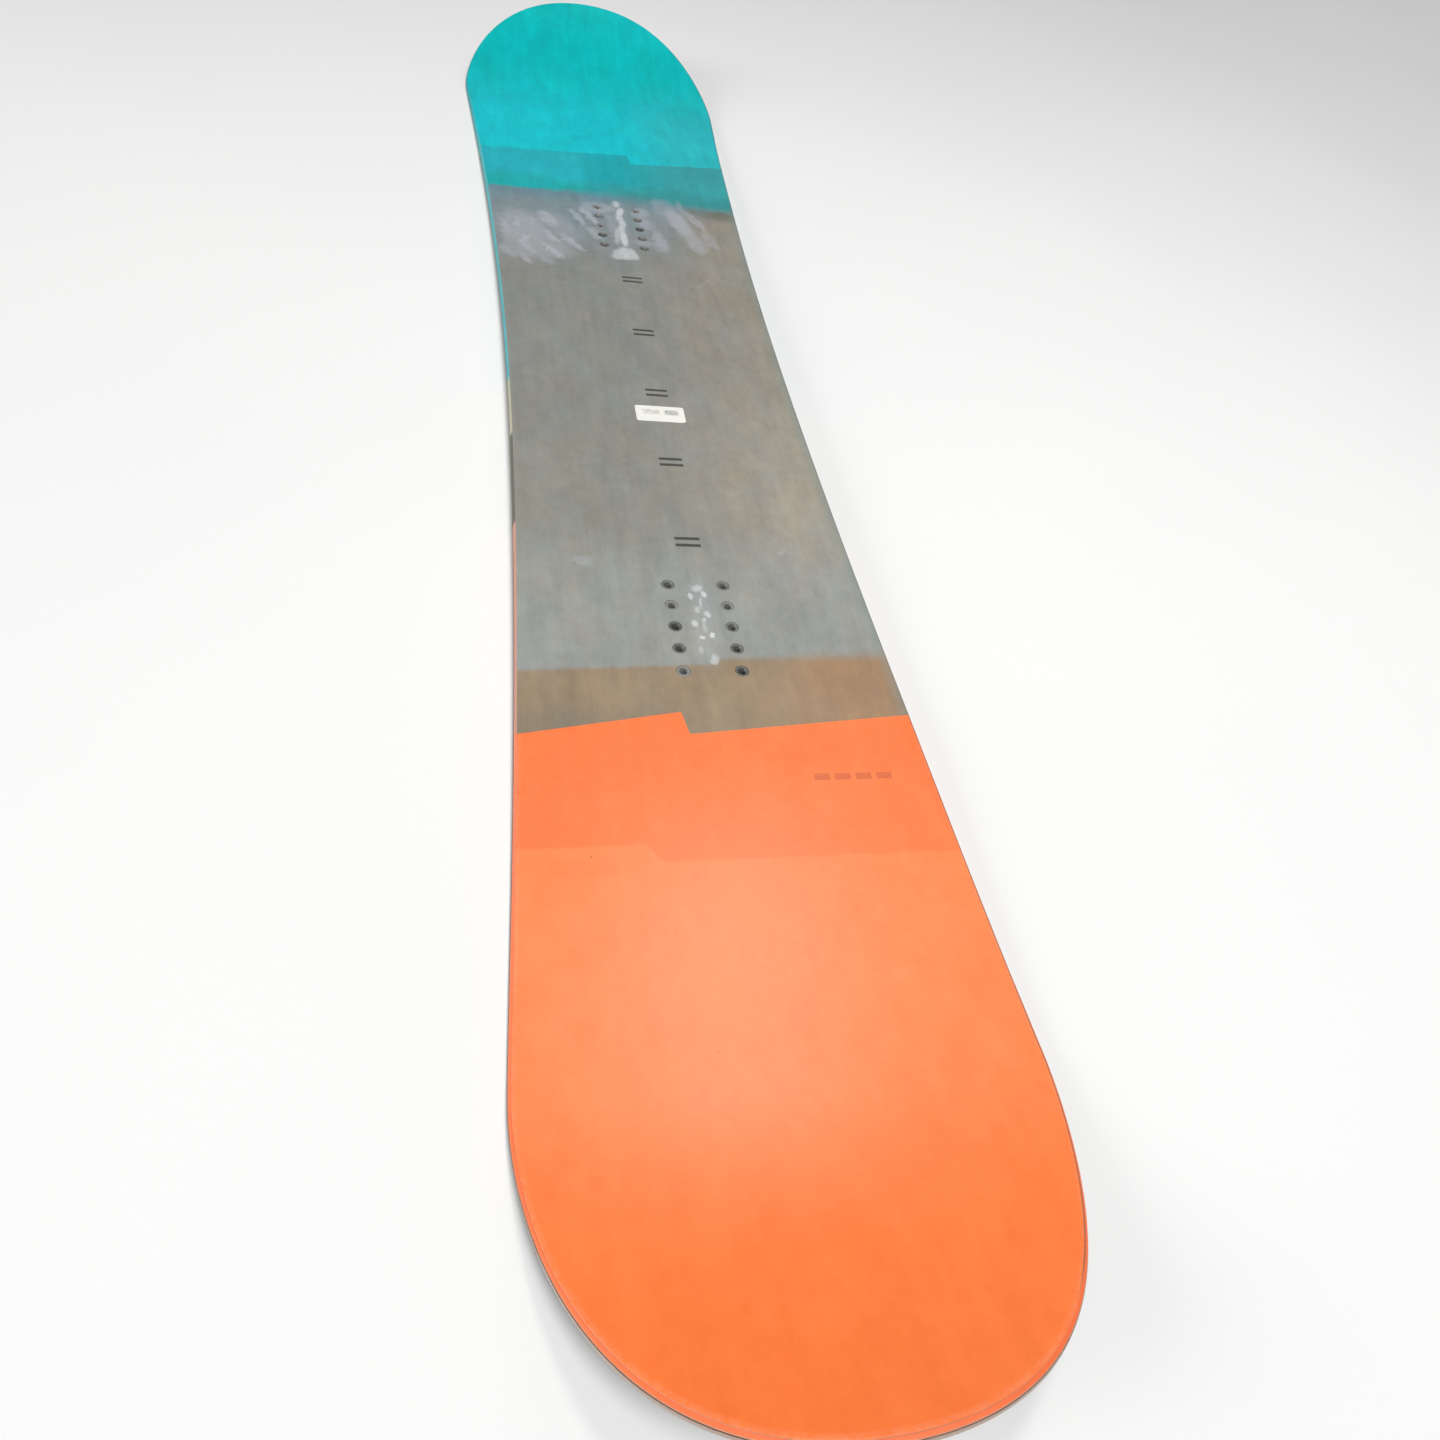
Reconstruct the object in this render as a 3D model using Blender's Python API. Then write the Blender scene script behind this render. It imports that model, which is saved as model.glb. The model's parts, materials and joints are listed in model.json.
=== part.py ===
"""A snowboard without bindings, built from the layers and strips that it is pressed from.

Metres, +Z up. The nose points to +Y and the tail to -Y, and the base stands on Z = 0 at its two
contact zones. Every piece is first modelled on the flat blank, where X is across the board, Y is
along its base and Z is the height above the base, and is then bent to the board's side view.
"""

import math

import bmesh
import bpy
from mathutils import Vector

# Outline of the steel edge on the flat blank
BOARD_LENGTH = 1.540
WAIST_WIDTH = 0.245
NOSE_WIDTH = 0.297
TAIL_WIDTH = 0.286
NOSE_LENGTH = 0.170  # from the nose tip to the widest point
TAIL_LENGTH = 0.165  # from the tail tip to the widest point
WAIST_SETBACK = 0.004  # how far the waist lies towards the tail
NOSE_TIP_HANDLE = 0.106  # across the board, at the tip
NOSE_SIDE_HANDLE = 0.081  # along the board, at the widest point
TAIL_TIP_HANDLE = 0.110
TAIL_SIDE_HANDLE = 0.065
SIDECUT_WIDE_HANDLE = 0.032  # along the board, from a widest point towards the waist
SIDECUT_WAIST_HANDLE = 0.307  # along the board, from the waist

# Side view of the base
CONTACT_SETBACK = 0.020  # from a widest point to the contact zone's outer end
CONTACT_LENGTH = 0.025  # the part of the base that lies flat on the snow
NOSE_KICK_RADIUS = 0.320
TAIL_KICK_RADIUS = 0.340
CAMBER_HEIGHT = 0.005

# Layers
BOND_LINE = 0.0001  # glue between two pieces
BASE_THICKNESS = 0.0012
EDGE_WIDTH = 0.0020
EDGE_FLANGE_WIDTH = 0.0050
EDGE_FLANGE_THICKNESS = 0.0005
EDGE_BUTT_GAP = 0.0004  # between the left and right edges at each tip
RUBBER_THICKNESS = 0.0003
RUBBER_LAP = 0.0010  # how far the rubber reaches past the edge's flange
GLASS_THICKNESS = 0.0006
GLASS_STEP_CLEARANCE = 0.0003  # from the rubber to the step in the lower glass
LAMINATE_SETBACK = 0.0004  # from the edge's face to the rubber, glass and sidewall foot
SIDEWALL_LEAN = 0.0016  # how far the sidewall's top leans in
SIDEWALL_LAP = 0.0004  # how far the sidewall reaches past the step in the lower glass
CORE_THICKNESS = 0.0060
TIP_THICKNESS = 0.0020  # of the spacers, and of the core where it meets them
TOPSHEET_THICKNESS = 0.0005
TOPSHEET_CHAMFER = 0.0003

# Threaded inserts for the bindings
STANCE_WIDTH = 0.560  # between the middles of the two insert packs
STANCE_SETBACK = 0.012  # how far the stance lies towards the tail
INSERT_ROWS = 5
INSERT_ROW_PITCH = 0.020
INSERT_COLUMN_SPACING = 0.040
INSERT_FLANGE_DIAMETER = 0.0150
INSERT_FLANGE_THICKNESS = 0.0012
INSERT_BARREL_DIAMETER = 0.0090
INSERT_BORE_DIAMETER = 0.0062  # clears the crests of an M6 screw
INSERT_FLOOR = 0.0008  # closes the bore's lower end
INSERT_CLEARANCE = 0.0002
INSERT_SINK = 0.0003  # barrel rim below the topsheet's face
INSERT_SIDES = 12
SEAT_MARGIN = 0.020  # flat seat of a binding past the outer rows

# Strips of the wood core, from the middle outwards
INSERT_STRIP_WALL = 0.0020  # wood beside an insert's flange
INNER_STRIP_WIDTH = 0.028
STRINGER_WIDTH = 0.010

# Blank paper label on the topsheet
LABEL_LENGTH = 0.021
LABEL_WIDTH = 0.041
LABEL_THICKNESS = 0.00015
LABEL_SETBACK = 0.052  # how far the label lies towards the tail
LABEL_CORNER_RADIUS = 0.002
LABEL_CORNER_STEPS = 3

# Where the topsheet changes colour
TAIL_COLOUR_LINE = -0.377
NOSE_COLOUR_LINE = 0.330

BOARD_NAME = "snowboard"

# Sections along the outline
TIP_STEPS = 15
BODY_STEP = 0.060  # longest step between the widest points
WELD = 0.000001

# Heights above the base, on the flat blank
EDGE_FLANGE_SEAT = BASE_THICKNESS + BOND_LINE
EDGE_TOP = EDGE_FLANGE_SEAT + EDGE_FLANGE_THICKNESS
RUBBER_SEAT = EDGE_TOP + BOND_LINE
RUBBER_TOP = RUBBER_SEAT + RUBBER_THICKNESS
GLASS_INNER_SEAT = BASE_THICKNESS + BOND_LINE
GLASS_INNER_TOP = GLASS_INNER_SEAT + GLASS_THICKNESS
GLASS_OUTER_SEAT = RUBBER_TOP + BOND_LINE
GLASS_OUTER_TOP = GLASS_OUTER_SEAT + GLASS_THICKNESS
CORE_SEAT = GLASS_INNER_TOP + BOND_LINE
SIDEWALL_SEAT = GLASS_OUTER_TOP + BOND_LINE

# Distances in from the steel edge's outer face
FLANGE_END = EDGE_WIDTH + EDGE_FLANGE_WIDTH
RUBBER_END = FLANGE_END + RUBBER_LAP
GLASS_STEP = RUBBER_END + GLASS_STEP_CLEARANCE
GLASS_STEP_TOP = GLASS_STEP + GLASS_THICKNESS
SIDEWALL_INSET = GLASS_STEP_TOP + SIDEWALL_LAP
TOP_INSET = LAMINATE_SETBACK + SIDEWALL_LEAN

# Anchor points and curves of the outline's right side, as (across, along)
TAIL_TIP = Vector((0.0, -BOARD_LENGTH / 2))
TAIL_WIDEST = Vector((TAIL_WIDTH / 2, -BOARD_LENGTH / 2 + TAIL_LENGTH))
WAIST = Vector((WAIST_WIDTH / 2, -WAIST_SETBACK))
NOSE_WIDEST = Vector((NOSE_WIDTH / 2, BOARD_LENGTH / 2 - NOSE_LENGTH))
NOSE_TIP = Vector((0.0, BOARD_LENGTH / 2))
ACROSS = Vector((1.0, 0.0))
ALONG = Vector((0.0, 1.0))
TAIL_CURVE = (
    TAIL_TIP,
    TAIL_TIP + ACROSS * TAIL_TIP_HANDLE,
    TAIL_WIDEST - ALONG * TAIL_SIDE_HANDLE,
    TAIL_WIDEST,
)
TAIL_SIDECUT = (
    TAIL_WIDEST,
    TAIL_WIDEST + ALONG * SIDECUT_WIDE_HANDLE,
    WAIST - ALONG * SIDECUT_WAIST_HANDLE,
    WAIST,
)
NOSE_SIDECUT = (
    WAIST,
    WAIST + ALONG * SIDECUT_WAIST_HANDLE,
    NOSE_WIDEST - ALONG * SIDECUT_WIDE_HANDLE,
    NOSE_WIDEST,
)
NOSE_CURVE = (
    NOSE_WIDEST,
    NOSE_WIDEST + ALONG * NOSE_SIDE_HANDLE,
    NOSE_TIP + ACROSS * NOSE_TIP_HANDLE,
    NOSE_TIP,
)

# Places along the board
TAIL_CONTACT_END = TAIL_WIDEST.y + CONTACT_SETBACK
TAIL_CONTACT_START = TAIL_CONTACT_END + CONTACT_LENGTH
NOSE_CONTACT_END = NOSE_WIDEST.y - CONTACT_SETBACK
NOSE_CONTACT_START = NOSE_CONTACT_END - CONTACT_LENGTH
TAIL_PACK = -STANCE_SETBACK - STANCE_WIDTH / 2
NOSE_PACK = -STANCE_SETBACK + STANCE_WIDTH / 2
HALF_PACK = (INSERT_ROWS - 1) / 2 * INSERT_ROW_PITCH
HALF_SEAT = HALF_PACK + SEAT_MARGIN
CORE_TAPER_TAIL = TAIL_PACK - HALF_SEAT
CORE_TAPER_NOSE = NOSE_PACK + HALF_SEAT


def base_line(along):
    """Where a point of the flat blank's base comes to lie: its place forward, its height and its slope."""
    if along > NOSE_CONTACT_END:
        slope = (along - NOSE_CONTACT_END) / NOSE_KICK_RADIUS
        forward = NOSE_CONTACT_END + NOSE_KICK_RADIUS * math.sin(slope)
        return forward, NOSE_KICK_RADIUS * (1 - math.cos(slope)), slope
    if along < TAIL_CONTACT_END:
        slope = (along - TAIL_CONTACT_END) / TAIL_KICK_RADIUS
        forward = TAIL_CONTACT_END + TAIL_KICK_RADIUS * math.sin(slope)
        return forward, TAIL_KICK_RADIUS * (1 - math.cos(slope)), slope
    half_span = (NOSE_CONTACT_START - TAIL_CONTACT_START) / 2
    middle = (NOSE_CONTACT_START + TAIL_CONTACT_START) / 2
    share = max(-1.0, min(1.0, (along - middle) / half_span))
    arch = 1 - share * share
    slope = -4 * CAMBER_HEIGHT * share * arch / half_span
    return along, CAMBER_HEIGHT * arch * arch, slope


FORWARD_SHIFT = -(base_line(NOSE_TIP.y)[0] + base_line(TAIL_TIP.y)[0]) / 2


def press(point):
    """Bends a point of the flat blank to its place on the finished board."""
    forward, rise, slope = base_line(point.y)
    return Vector((
        point.x,
        forward + FORWARD_SHIFT - point.z * math.sin(slope),
        rise + point.z * math.cos(slope),
    ))


def core_top(along):
    """Height of the core's upper face above the base."""
    if along < CORE_TAPER_TAIL:
        share = (CORE_TAPER_TAIL - along) / (CORE_TAPER_TAIL - TAIL_WIDEST.y)
    else:
        share = (along - CORE_TAPER_NOSE) / (NOSE_WIDEST.y - CORE_TAPER_NOSE)
    share = max(0.0, min(1.0, share))
    taper = share * share * (3 - 2 * share)
    return CORE_SEAT + CORE_THICKNESS + (TIP_THICKNESS - CORE_THICKNESS) * taper


def upper_glass_top(along):
    """Height of the upper glass layer's face above the base."""
    return core_top(along) + BOND_LINE + GLASS_THICKNESS


def topsheet_top(along):
    """Height of the topsheet's face above the base."""
    return upper_glass_top(along) + BOND_LINE + TOPSHEET_THICKNESS


def curve_point(curve, share):
    """Point and direction at a share of a four-point curve."""
    first = [curve[i].lerp(curve[i + 1], share) for i in range(3)]
    second = [first[i].lerp(first[i + 1], share) for i in range(2)]
    return second[0].lerp(second[1], share), (second[1] - second[0]).normalized()


def sidecut_point(along):
    """Point and direction of the sidecut at a place along the board, found by halving."""
    curve = TAIL_SIDECUT if along < WAIST.y else NOSE_SIDECUT
    low, high = 0.0, 1.0
    for _ in range(40):
        middle = (low + high) / 2
        if curve_point(curve, middle)[0].y < along:
            low = middle
        else:
            high = middle
    return curve_point(curve, (low + high) / 2)


def body_places():
    """Places along the board between the widest points where the layers have a section.

    The contact zones, the binding seats and the stretches of one colour each begin and end at one.
    """
    contacts = [TAIL_CONTACT_END, TAIL_CONTACT_START, NOSE_CONTACT_START, NOSE_CONTACT_END]
    seat_starts = [TAIL_PACK - HALF_SEAT, NOSE_PACK - HALF_SEAT]
    seat_ends = [TAIL_PACK + HALF_SEAT, NOSE_PACK + HALF_SEAT]
    marks = sorted(contacts + seat_starts + seat_ends + [TAIL_COLOUR_LINE, NOSE_COLOUR_LINE])
    places = [marks[0]]
    for start, end in zip(marks, marks[1:]):
        steps = 1 if start in seat_starts else math.ceil((end - start) / BODY_STEP)
        places += [start + (end - start) * i / steps for i in range(1, steps + 1)]
    return places


TAIL_STATIONS = [curve_point(TAIL_CURVE, i / TIP_STEPS) for i in range(TIP_STEPS + 1)]
BODY_STATIONS = [sidecut_point(place) for place in body_places()]
NOSE_STATIONS = [curve_point(NOSE_CURVE, i / TIP_STEPS) for i in range(TIP_STEPS + 1)]
CORE_STATIONS = [TAIL_STATIONS[-1]] + BODY_STATIONS + [NOSE_STATIONS[0]]
ALL_STATIONS = TAIL_STATIONS + BODY_STATIONS + NOSE_STATIONS


def inset_point(station, inset, height):
    """Point of the right side's section, a distance in from the edge's face, at a height."""
    point, direction = station
    inward = Vector((-direction.y, direction.x))
    place = point + inward * inset
    return Vector((place.x, place.y, height))


def mirrored(point):
    """The same point on the left side."""
    return Vector((-point.x, point.y, point.z))


def material(name, colour, roughness, metallic=0.0):
    """A plain Principled material."""
    made = bpy.data.materials.new(name)
    made.use_nodes = True
    shader = made.node_tree.nodes["Principled BSDF"]
    shader.inputs["Base Color"].default_value = (*colour, 1.0)
    shader.inputs["Roughness"].default_value = roughness
    shader.inputs["Metallic"].default_value = metallic
    made.diffuse_color = (*colour, 1.0)
    return made


def pressed_object(name, mesh, materials):
    """Welds a flat piece, bends it to the board's side view and links it as a named object."""
    bmesh.ops.remove_doubles(mesh, verts=mesh.verts, dist=WELD)
    for vertex in mesh.verts:
        vertex.co = press(vertex.co)
    bmesh.ops.recalc_face_normals(mesh, faces=mesh.faces)
    data = bpy.data.meshes.new(name)
    mesh.to_mesh(data)
    mesh.free()
    for one in materials:
        data.materials.append(one)
    made = bpy.data.objects.new(name, data)
    bpy.context.scene.collection.objects.link(made)
    made.parent = bpy.data.objects[BOARD_NAME]
    return made


def loft(name, sections, materials, first_cap=False, last_cap=False):
    """A closed solid through sections of equal point count. An end without a cap closes at the tip."""
    mesh = bmesh.new()
    rings = [[mesh.verts.new(point) for point in section] for section in sections]
    for ring, following in zip(rings, rings[1:]):
        for i in range(len(ring)):
            mesh.faces.new((ring[i - 1], ring[i], following[i], following[i - 1]))
    if first_cap:
        mesh.faces.new(rings[0])
    if last_cap:
        mesh.faces.new(rings[-1])
    return pressed_object(name, mesh, materials)


def full_section(station, bottom, top):
    """Section over the whole width. Bottom and top are (inset, height) lists, from the outside in."""
    under = [inset_point(station, *spot) for spot in bottom]
    over = [inset_point(station, *spot) for spot in top]
    left_under = [mirrored(point) for point in under]
    left_over = [mirrored(point) for point in over]
    return left_under + under[::-1] + over + left_over[::-1]


def side_section(station, side, spots):
    """Section of a piece that follows the outline on one side, 1 for right and -1 for left."""
    points = [inset_point(station, *spot) for spot in spots]
    return points if side > 0 else [mirrored(point) for point in points]


def turned(mesh, across, along, profile):
    """Adds a solid turned about an upright axis. The profile's (radius, height) pairs start and end at radius 0."""
    points = [mesh.verts.new((across + radius, along, height)) for radius, height in profile]
    lines = [mesh.edges.new(pair) for pair in zip(points, points[1:])]
    bmesh.ops.spin(
        mesh,
        geom=points + lines,
        cent=(across, along, 0.0),
        axis=(0.0, 0.0, 1.0),
        angle=math.tau,
        steps=INSERT_SIDES,
        use_merge=True,
    )


def insert_places():
    """Name, place across and place along of every insert."""
    places = []
    for word, pack in (("tail", TAIL_PACK), ("nose", NOSE_PACK)):
        for row in range(INSERT_ROWS):
            along = pack - HALF_PACK + row * INSERT_ROW_PITCH
            for side, hand in ((-1, "left"), (1, "right")):
                name = f"{word}_insert_{hand}_{row + 1}"
                places.append((name, side * INSERT_COLUMN_SPACING / 2, along))
    return places


def insert(name, across, along, steel):
    """A threaded insert: a flange under the core with a blind barrel up to the topsheet."""
    mesh = bmesh.new()
    flange_radius = INSERT_FLANGE_DIAMETER / 2
    barrel_radius = INSERT_BARREL_DIAMETER / 2
    bore_radius = INSERT_BORE_DIAMETER / 2
    flange_top = CORE_SEAT + INSERT_FLANGE_THICKNESS
    bore_floor = CORE_SEAT + INSERT_FLOOR
    rim = topsheet_top(along) - INSERT_SINK
    profile = [
        (0.0, CORE_SEAT),
        (flange_radius, CORE_SEAT),
        (flange_radius, flange_top),
        (barrel_radius, flange_top),
        (barrel_radius, rim),
        (bore_radius, rim),
        (bore_radius, bore_floor),
        (0.0, bore_floor),
    ]
    turned(mesh, across, along, profile)
    made = pressed_object(name, mesh, [steel])
    made.data.shade_smooth()
    made.data.set_sharp_from_angle(angle=math.radians(40))


def insert_cutter():
    """Cutter for the holes that the inserts stand in, with a wider seat for each flange."""
    mesh = bmesh.new()
    flange_radius = INSERT_FLANGE_DIAMETER / 2 + INSERT_CLEARANCE
    barrel_radius = INSERT_BARREL_DIAMETER / 2 + INSERT_CLEARANCE
    below = CORE_SEAT - BOND_LINE / 2
    flange_top = CORE_SEAT + INSERT_FLANGE_THICKNESS + BOND_LINE
    for _, across, along in insert_places():
        above = topsheet_top(along) + TOPSHEET_THICKNESS
        profile = [
            (0.0, below),
            (flange_radius, below),
            (flange_radius, flange_top),
            (barrel_radius, flange_top),
            (barrel_radius, above),
            (0.0, above),
        ]
        turned(mesh, across, along, profile)
    made = pressed_object("insert_hole_cutter", mesh, [])
    made.hide_render = True
    made.display_type = "WIRE"
    return made


def drill(piece, cutter):
    """Cuts the insert holes out of a piece."""
    hole = piece.modifiers.new("insert_holes", "BOOLEAN")
    hole.operation = "DIFFERENCE"
    hole.solver = "EXACT"
    hole.object = cutter


def base_sheet(plastic):
    """The running base, let in between the steel edges."""
    inset = EDGE_WIDTH + BOND_LINE
    sections = [
        full_section(station, [(inset, 0.0)], [(inset, BASE_THICKNESS)])
        for station in ALL_STATIONS
    ]
    return loft("base_sheet", sections, [plastic])


def steel_edge(name, side, steel):
    """Half of the steel edge, tip to tip: a square rail with a thin flange that the laminate holds."""
    spots = [
        (0.0, 0.0),
        (EDGE_WIDTH, 0.0),
        (EDGE_WIDTH, EDGE_FLANGE_SEAT),
        (FLANGE_END, EDGE_FLANGE_SEAT),
        (FLANGE_END, EDGE_TOP),
        (0.0, EDGE_TOP),
    ]
    sections = [side_section(station, side, spots) for station in ALL_STATIONS]
    return butted_loft(name, sections, side, steel)


def rubber_strip(name, side, rubber):
    """Damping foil on top of one steel edge's flange."""
    spots = [
        (LAMINATE_SETBACK, RUBBER_SEAT),
        (RUBBER_END, RUBBER_SEAT),
        (RUBBER_END, RUBBER_TOP),
        (LAMINATE_SETBACK, RUBBER_TOP),
    ]
    sections = [side_section(station, side, spots) for station in ALL_STATIONS]
    return butted_loft(name, sections, side, rubber)


def butted_loft(name, sections, side, finish):
    """Lofts one half of a ring round the board, with its two ends cut back from the middle."""
    for section in (sections[0], sections[-1]):
        for point in section:
            point.x = side * EDGE_BUTT_GAP / 2
    return loft(name, sections, [finish], first_cap=True, last_cap=True)


def lower_glass(glass):
    """Lower glass laminate. It lies on the base and steps up over the rubber and the edge's flange."""
    bottom = [
        (LAMINATE_SETBACK, GLASS_OUTER_SEAT),
        (GLASS_STEP, GLASS_OUTER_SEAT),
        (GLASS_STEP, GLASS_INNER_SEAT),
    ]
    top = [
        (LAMINATE_SETBACK, GLASS_OUTER_TOP),
        (GLASS_STEP_TOP, GLASS_OUTER_TOP),
        (GLASS_STEP_TOP, GLASS_INNER_TOP),
    ]
    sections = [full_section(station, bottom, top) for station in ALL_STATIONS]
    return loft("lower_glass_laminate", sections, [glass])


def upper_layer(name, seat, face, chamfer, materials):
    """A layer over the core. Seat and face give its lower and upper height at a place along the board."""
    sections = []
    for station in ALL_STATIONS:
        along = station[0].y
        bottom = [(TOP_INSET, seat(along))]
        top = [(TOP_INSET + chamfer, face(along))]
        sections.append(full_section(station, bottom, top))
    return loft(name, sections, materials)


def sidewall(name, side, plastic):
    """Plastic wall beside the core between the widest points. Its outer face leans in towards the top."""
    sections = []
    for station in CORE_STATIONS:
        top = core_top(station[0].y)
        spots = [
            (LAMINATE_SETBACK, SIDEWALL_SEAT),
            (SIDEWALL_INSET, SIDEWALL_SEAT),
            (SIDEWALL_INSET, top),
            (TOP_INSET, top),
        ]
        sections.append(side_section(station, side, spots))
    return loft(name, sections, [plastic], first_cap=True, last_cap=True)


def tip_spacer(name, stations, towards_tip, plastic):
    """Plastic filler in a tip, which takes the core's place past the widest point.

    The stations run from the widest point to the tip, which lies towards +Y or -Y.
    """
    bottom = [
        (LAMINATE_SETBACK, SIDEWALL_SEAT),
        (SIDEWALL_INSET, SIDEWALL_SEAT),
        (SIDEWALL_INSET, CORE_SEAT),
    ]
    sections = []
    for station in stations:
        top = [(TOP_INSET, core_top(station[0].y))]
        sections.append(full_section(station, bottom, top))
    for point in sections[0]:
        point.y += towards_tip * BOND_LINE
    return loft(name, sections, [plastic], first_cap=True)


def core_strip(name, inner, outer, wood):
    """Straight strip of the core between two places across the board."""
    sections = []
    for point, _ in CORE_STATIONS:
        top = core_top(point.y)
        corners = ((inner, CORE_SEAT), (outer, CORE_SEAT), (outer, top), (inner, top))
        sections.append([Vector((across, point.y, height)) for across, height in corners])
    return loft(name, sections, [wood], first_cap=True, last_cap=True)


def outer_core_strip(name, side, inner, wood):
    """Outermost strip, straight on its inner side and cut to the sidewall on its outer side."""
    sections = []
    inset = SIDEWALL_INSET + BOND_LINE
    for station in CORE_STATIONS:
        top = core_top(station[0].y)
        foot = inset_point(station, inset, CORE_SEAT)
        head = inset_point(station, inset, top)
        section = [Vector((inner, foot.y, CORE_SEAT)), foot, head, Vector((inner, foot.y, top))]
        sections.append(section if side > 0 else [mirrored(point) for point in section])
    return loft(name, sections, [wood], first_cap=True, last_cap=True)


def core(poplar, beech, cutter):
    """The laminated wood core. The inserts stand in the two beech strips beside the middle one."""
    insert_strip = INSERT_FLANGE_DIAMETER + 2 * (INSERT_CLEARANCE + INSERT_STRIP_WALL)
    joint = BOND_LINE / 2
    lines = [INSERT_COLUMN_SPACING / 2 - insert_strip / 2]
    for width in (insert_strip, INNER_STRIP_WIDTH, STRINGER_WIDTH):
        lines.append(lines[-1] + width)
    core_strip("core_middle_strip", -lines[0] + joint, lines[0] - joint, poplar)
    for side, word in ((-1, "left"), (1, "right")):
        rows = (("insert", 0, beech), ("inner", 1, poplar), ("stringer", 2, beech))
        for kind, i, wood in rows:
            ends = sorted((side * (lines[i] + joint), side * (lines[i + 1] - joint)))
            made = core_strip(f"core_{kind}_strip_{word}", *ends, wood)
            if kind == "insert":
                drill(made, cutter)
        outer_core_strip(f"core_outer_strip_{word}", side, lines[3] + joint, poplar)


def topsheet(colours, cutter):
    """Printed top layer, with its tail, middle and nose in three colours and the insert holes."""
    made = upper_layer(
        "topsheet",
        lambda along: upper_glass_top(along) + BOND_LINE,
        topsheet_top,
        TOPSHEET_CHAMFER,
        colours,
    )
    tail_line = press(Vector((0.0, TAIL_COLOUR_LINE, 0.0))).y
    nose_line = press(Vector((0.0, NOSE_COLOUR_LINE, 0.0))).y
    for face in made.data.polygons:
        face.material_index = (face.center.y > tail_line) + (face.center.y > nose_line)
    drill(made, cutter)


def label(paper):
    """Blank paper label on the topsheet, with rounded corners."""
    mesh = bmesh.new()
    corners = ((1, 1), (-1, 1), (-1, -1), (1, -1))
    reach_across = LABEL_WIDTH / 2 - LABEL_CORNER_RADIUS
    reach_along = LABEL_LENGTH / 2 - LABEL_CORNER_RADIUS
    outline = []
    for quarter, (side, end) in enumerate(corners):
        for step in range(LABEL_CORNER_STEPS + 1):
            turn = math.pi / 2 * (quarter + step / LABEL_CORNER_STEPS)
            across = side * reach_across + LABEL_CORNER_RADIUS * math.cos(turn)
            along = -LABEL_SETBACK + end * reach_along + LABEL_CORNER_RADIUS * math.sin(turn)
            outline.append((across, along, topsheet_top(along) + BOND_LINE))
    foot = mesh.faces.new([mesh.verts.new(spot) for spot in outline])
    raised = bmesh.ops.extrude_face_region(mesh, geom=[foot], use_keep_orig=True)
    lifted = [item for item in raised["geom"] if isinstance(item, bmesh.types.BMVert)]
    bmesh.ops.translate(mesh, verts=lifted, vec=(0.0, 0.0, LABEL_THICKNESS))
    pressed_object("paper_label", mesh, [paper])


def build():
    """Builds every piece of the board."""
    for old in list(bpy.data.objects):
        bpy.data.objects.remove(old, do_unlink=True)
    board = bpy.data.objects.new(BOARD_NAME, None)
    bpy.context.scene.collection.objects.link(board)

    steel = material("edge_steel", (0.55, 0.56, 0.57), 0.30, 1.0)
    insert_steel = material("insert_steel", (0.32, 0.32, 0.33), 0.35, 1.0)
    base_plastic = material("base_plastic", (0.03, 0.03, 0.035), 0.45)
    rubber = material("damping_rubber", (0.02, 0.02, 0.02), 0.80)
    glass = material("glass_laminate", (0.60, 0.64, 0.52), 0.35)
    wall_plastic = material("sidewall_plastic", (0.75, 0.32, 0.18), 0.45)
    spacer_plastic = material("spacer_plastic", (0.70, 0.70, 0.68), 0.50)
    poplar = material("poplar", (0.72, 0.60, 0.42), 0.70)
    beech = material("beech", (0.60, 0.42, 0.27), 0.65)
    paper = material("label_paper", (0.88, 0.88, 0.85), 0.60)
    tail_orange = material("topsheet_orange", (0.95, 0.24, 0.07), 0.35)
    middle_grey = material("topsheet_grey", (0.29, 0.29, 0.26), 0.40)
    nose_teal = material("topsheet_teal", (0.0, 0.45, 0.48), 0.35)

    cutter = insert_cutter()
    base_sheet(base_plastic)
    lower_glass(glass)
    for side, word in ((-1, "left"), (1, "right")):
        steel_edge(f"steel_edge_{word}", side, steel)
        rubber_strip(f"edge_rubber_{word}", side, rubber)
        sidewall(f"sidewall_{word}", side, wall_plastic)
    tip_spacer("tail_spacer", TAIL_STATIONS[::-1], -1, spacer_plastic)
    tip_spacer("nose_spacer", NOSE_STATIONS, 1, spacer_plastic)
    core(poplar, beech, cutter)
    for name, across, along in insert_places():
        insert(name, across, along, insert_steel)
    upper = upper_layer(
        "upper_glass_laminate",
        lambda along: core_top(along) + BOND_LINE,
        upper_glass_top,
        0.0,
        [glass],
    )
    drill(upper, cutter)
    topsheet([tail_orange, middle_grey, nose_teal], cutter)
    label(paper)


build()
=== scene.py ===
import json
import math

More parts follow.
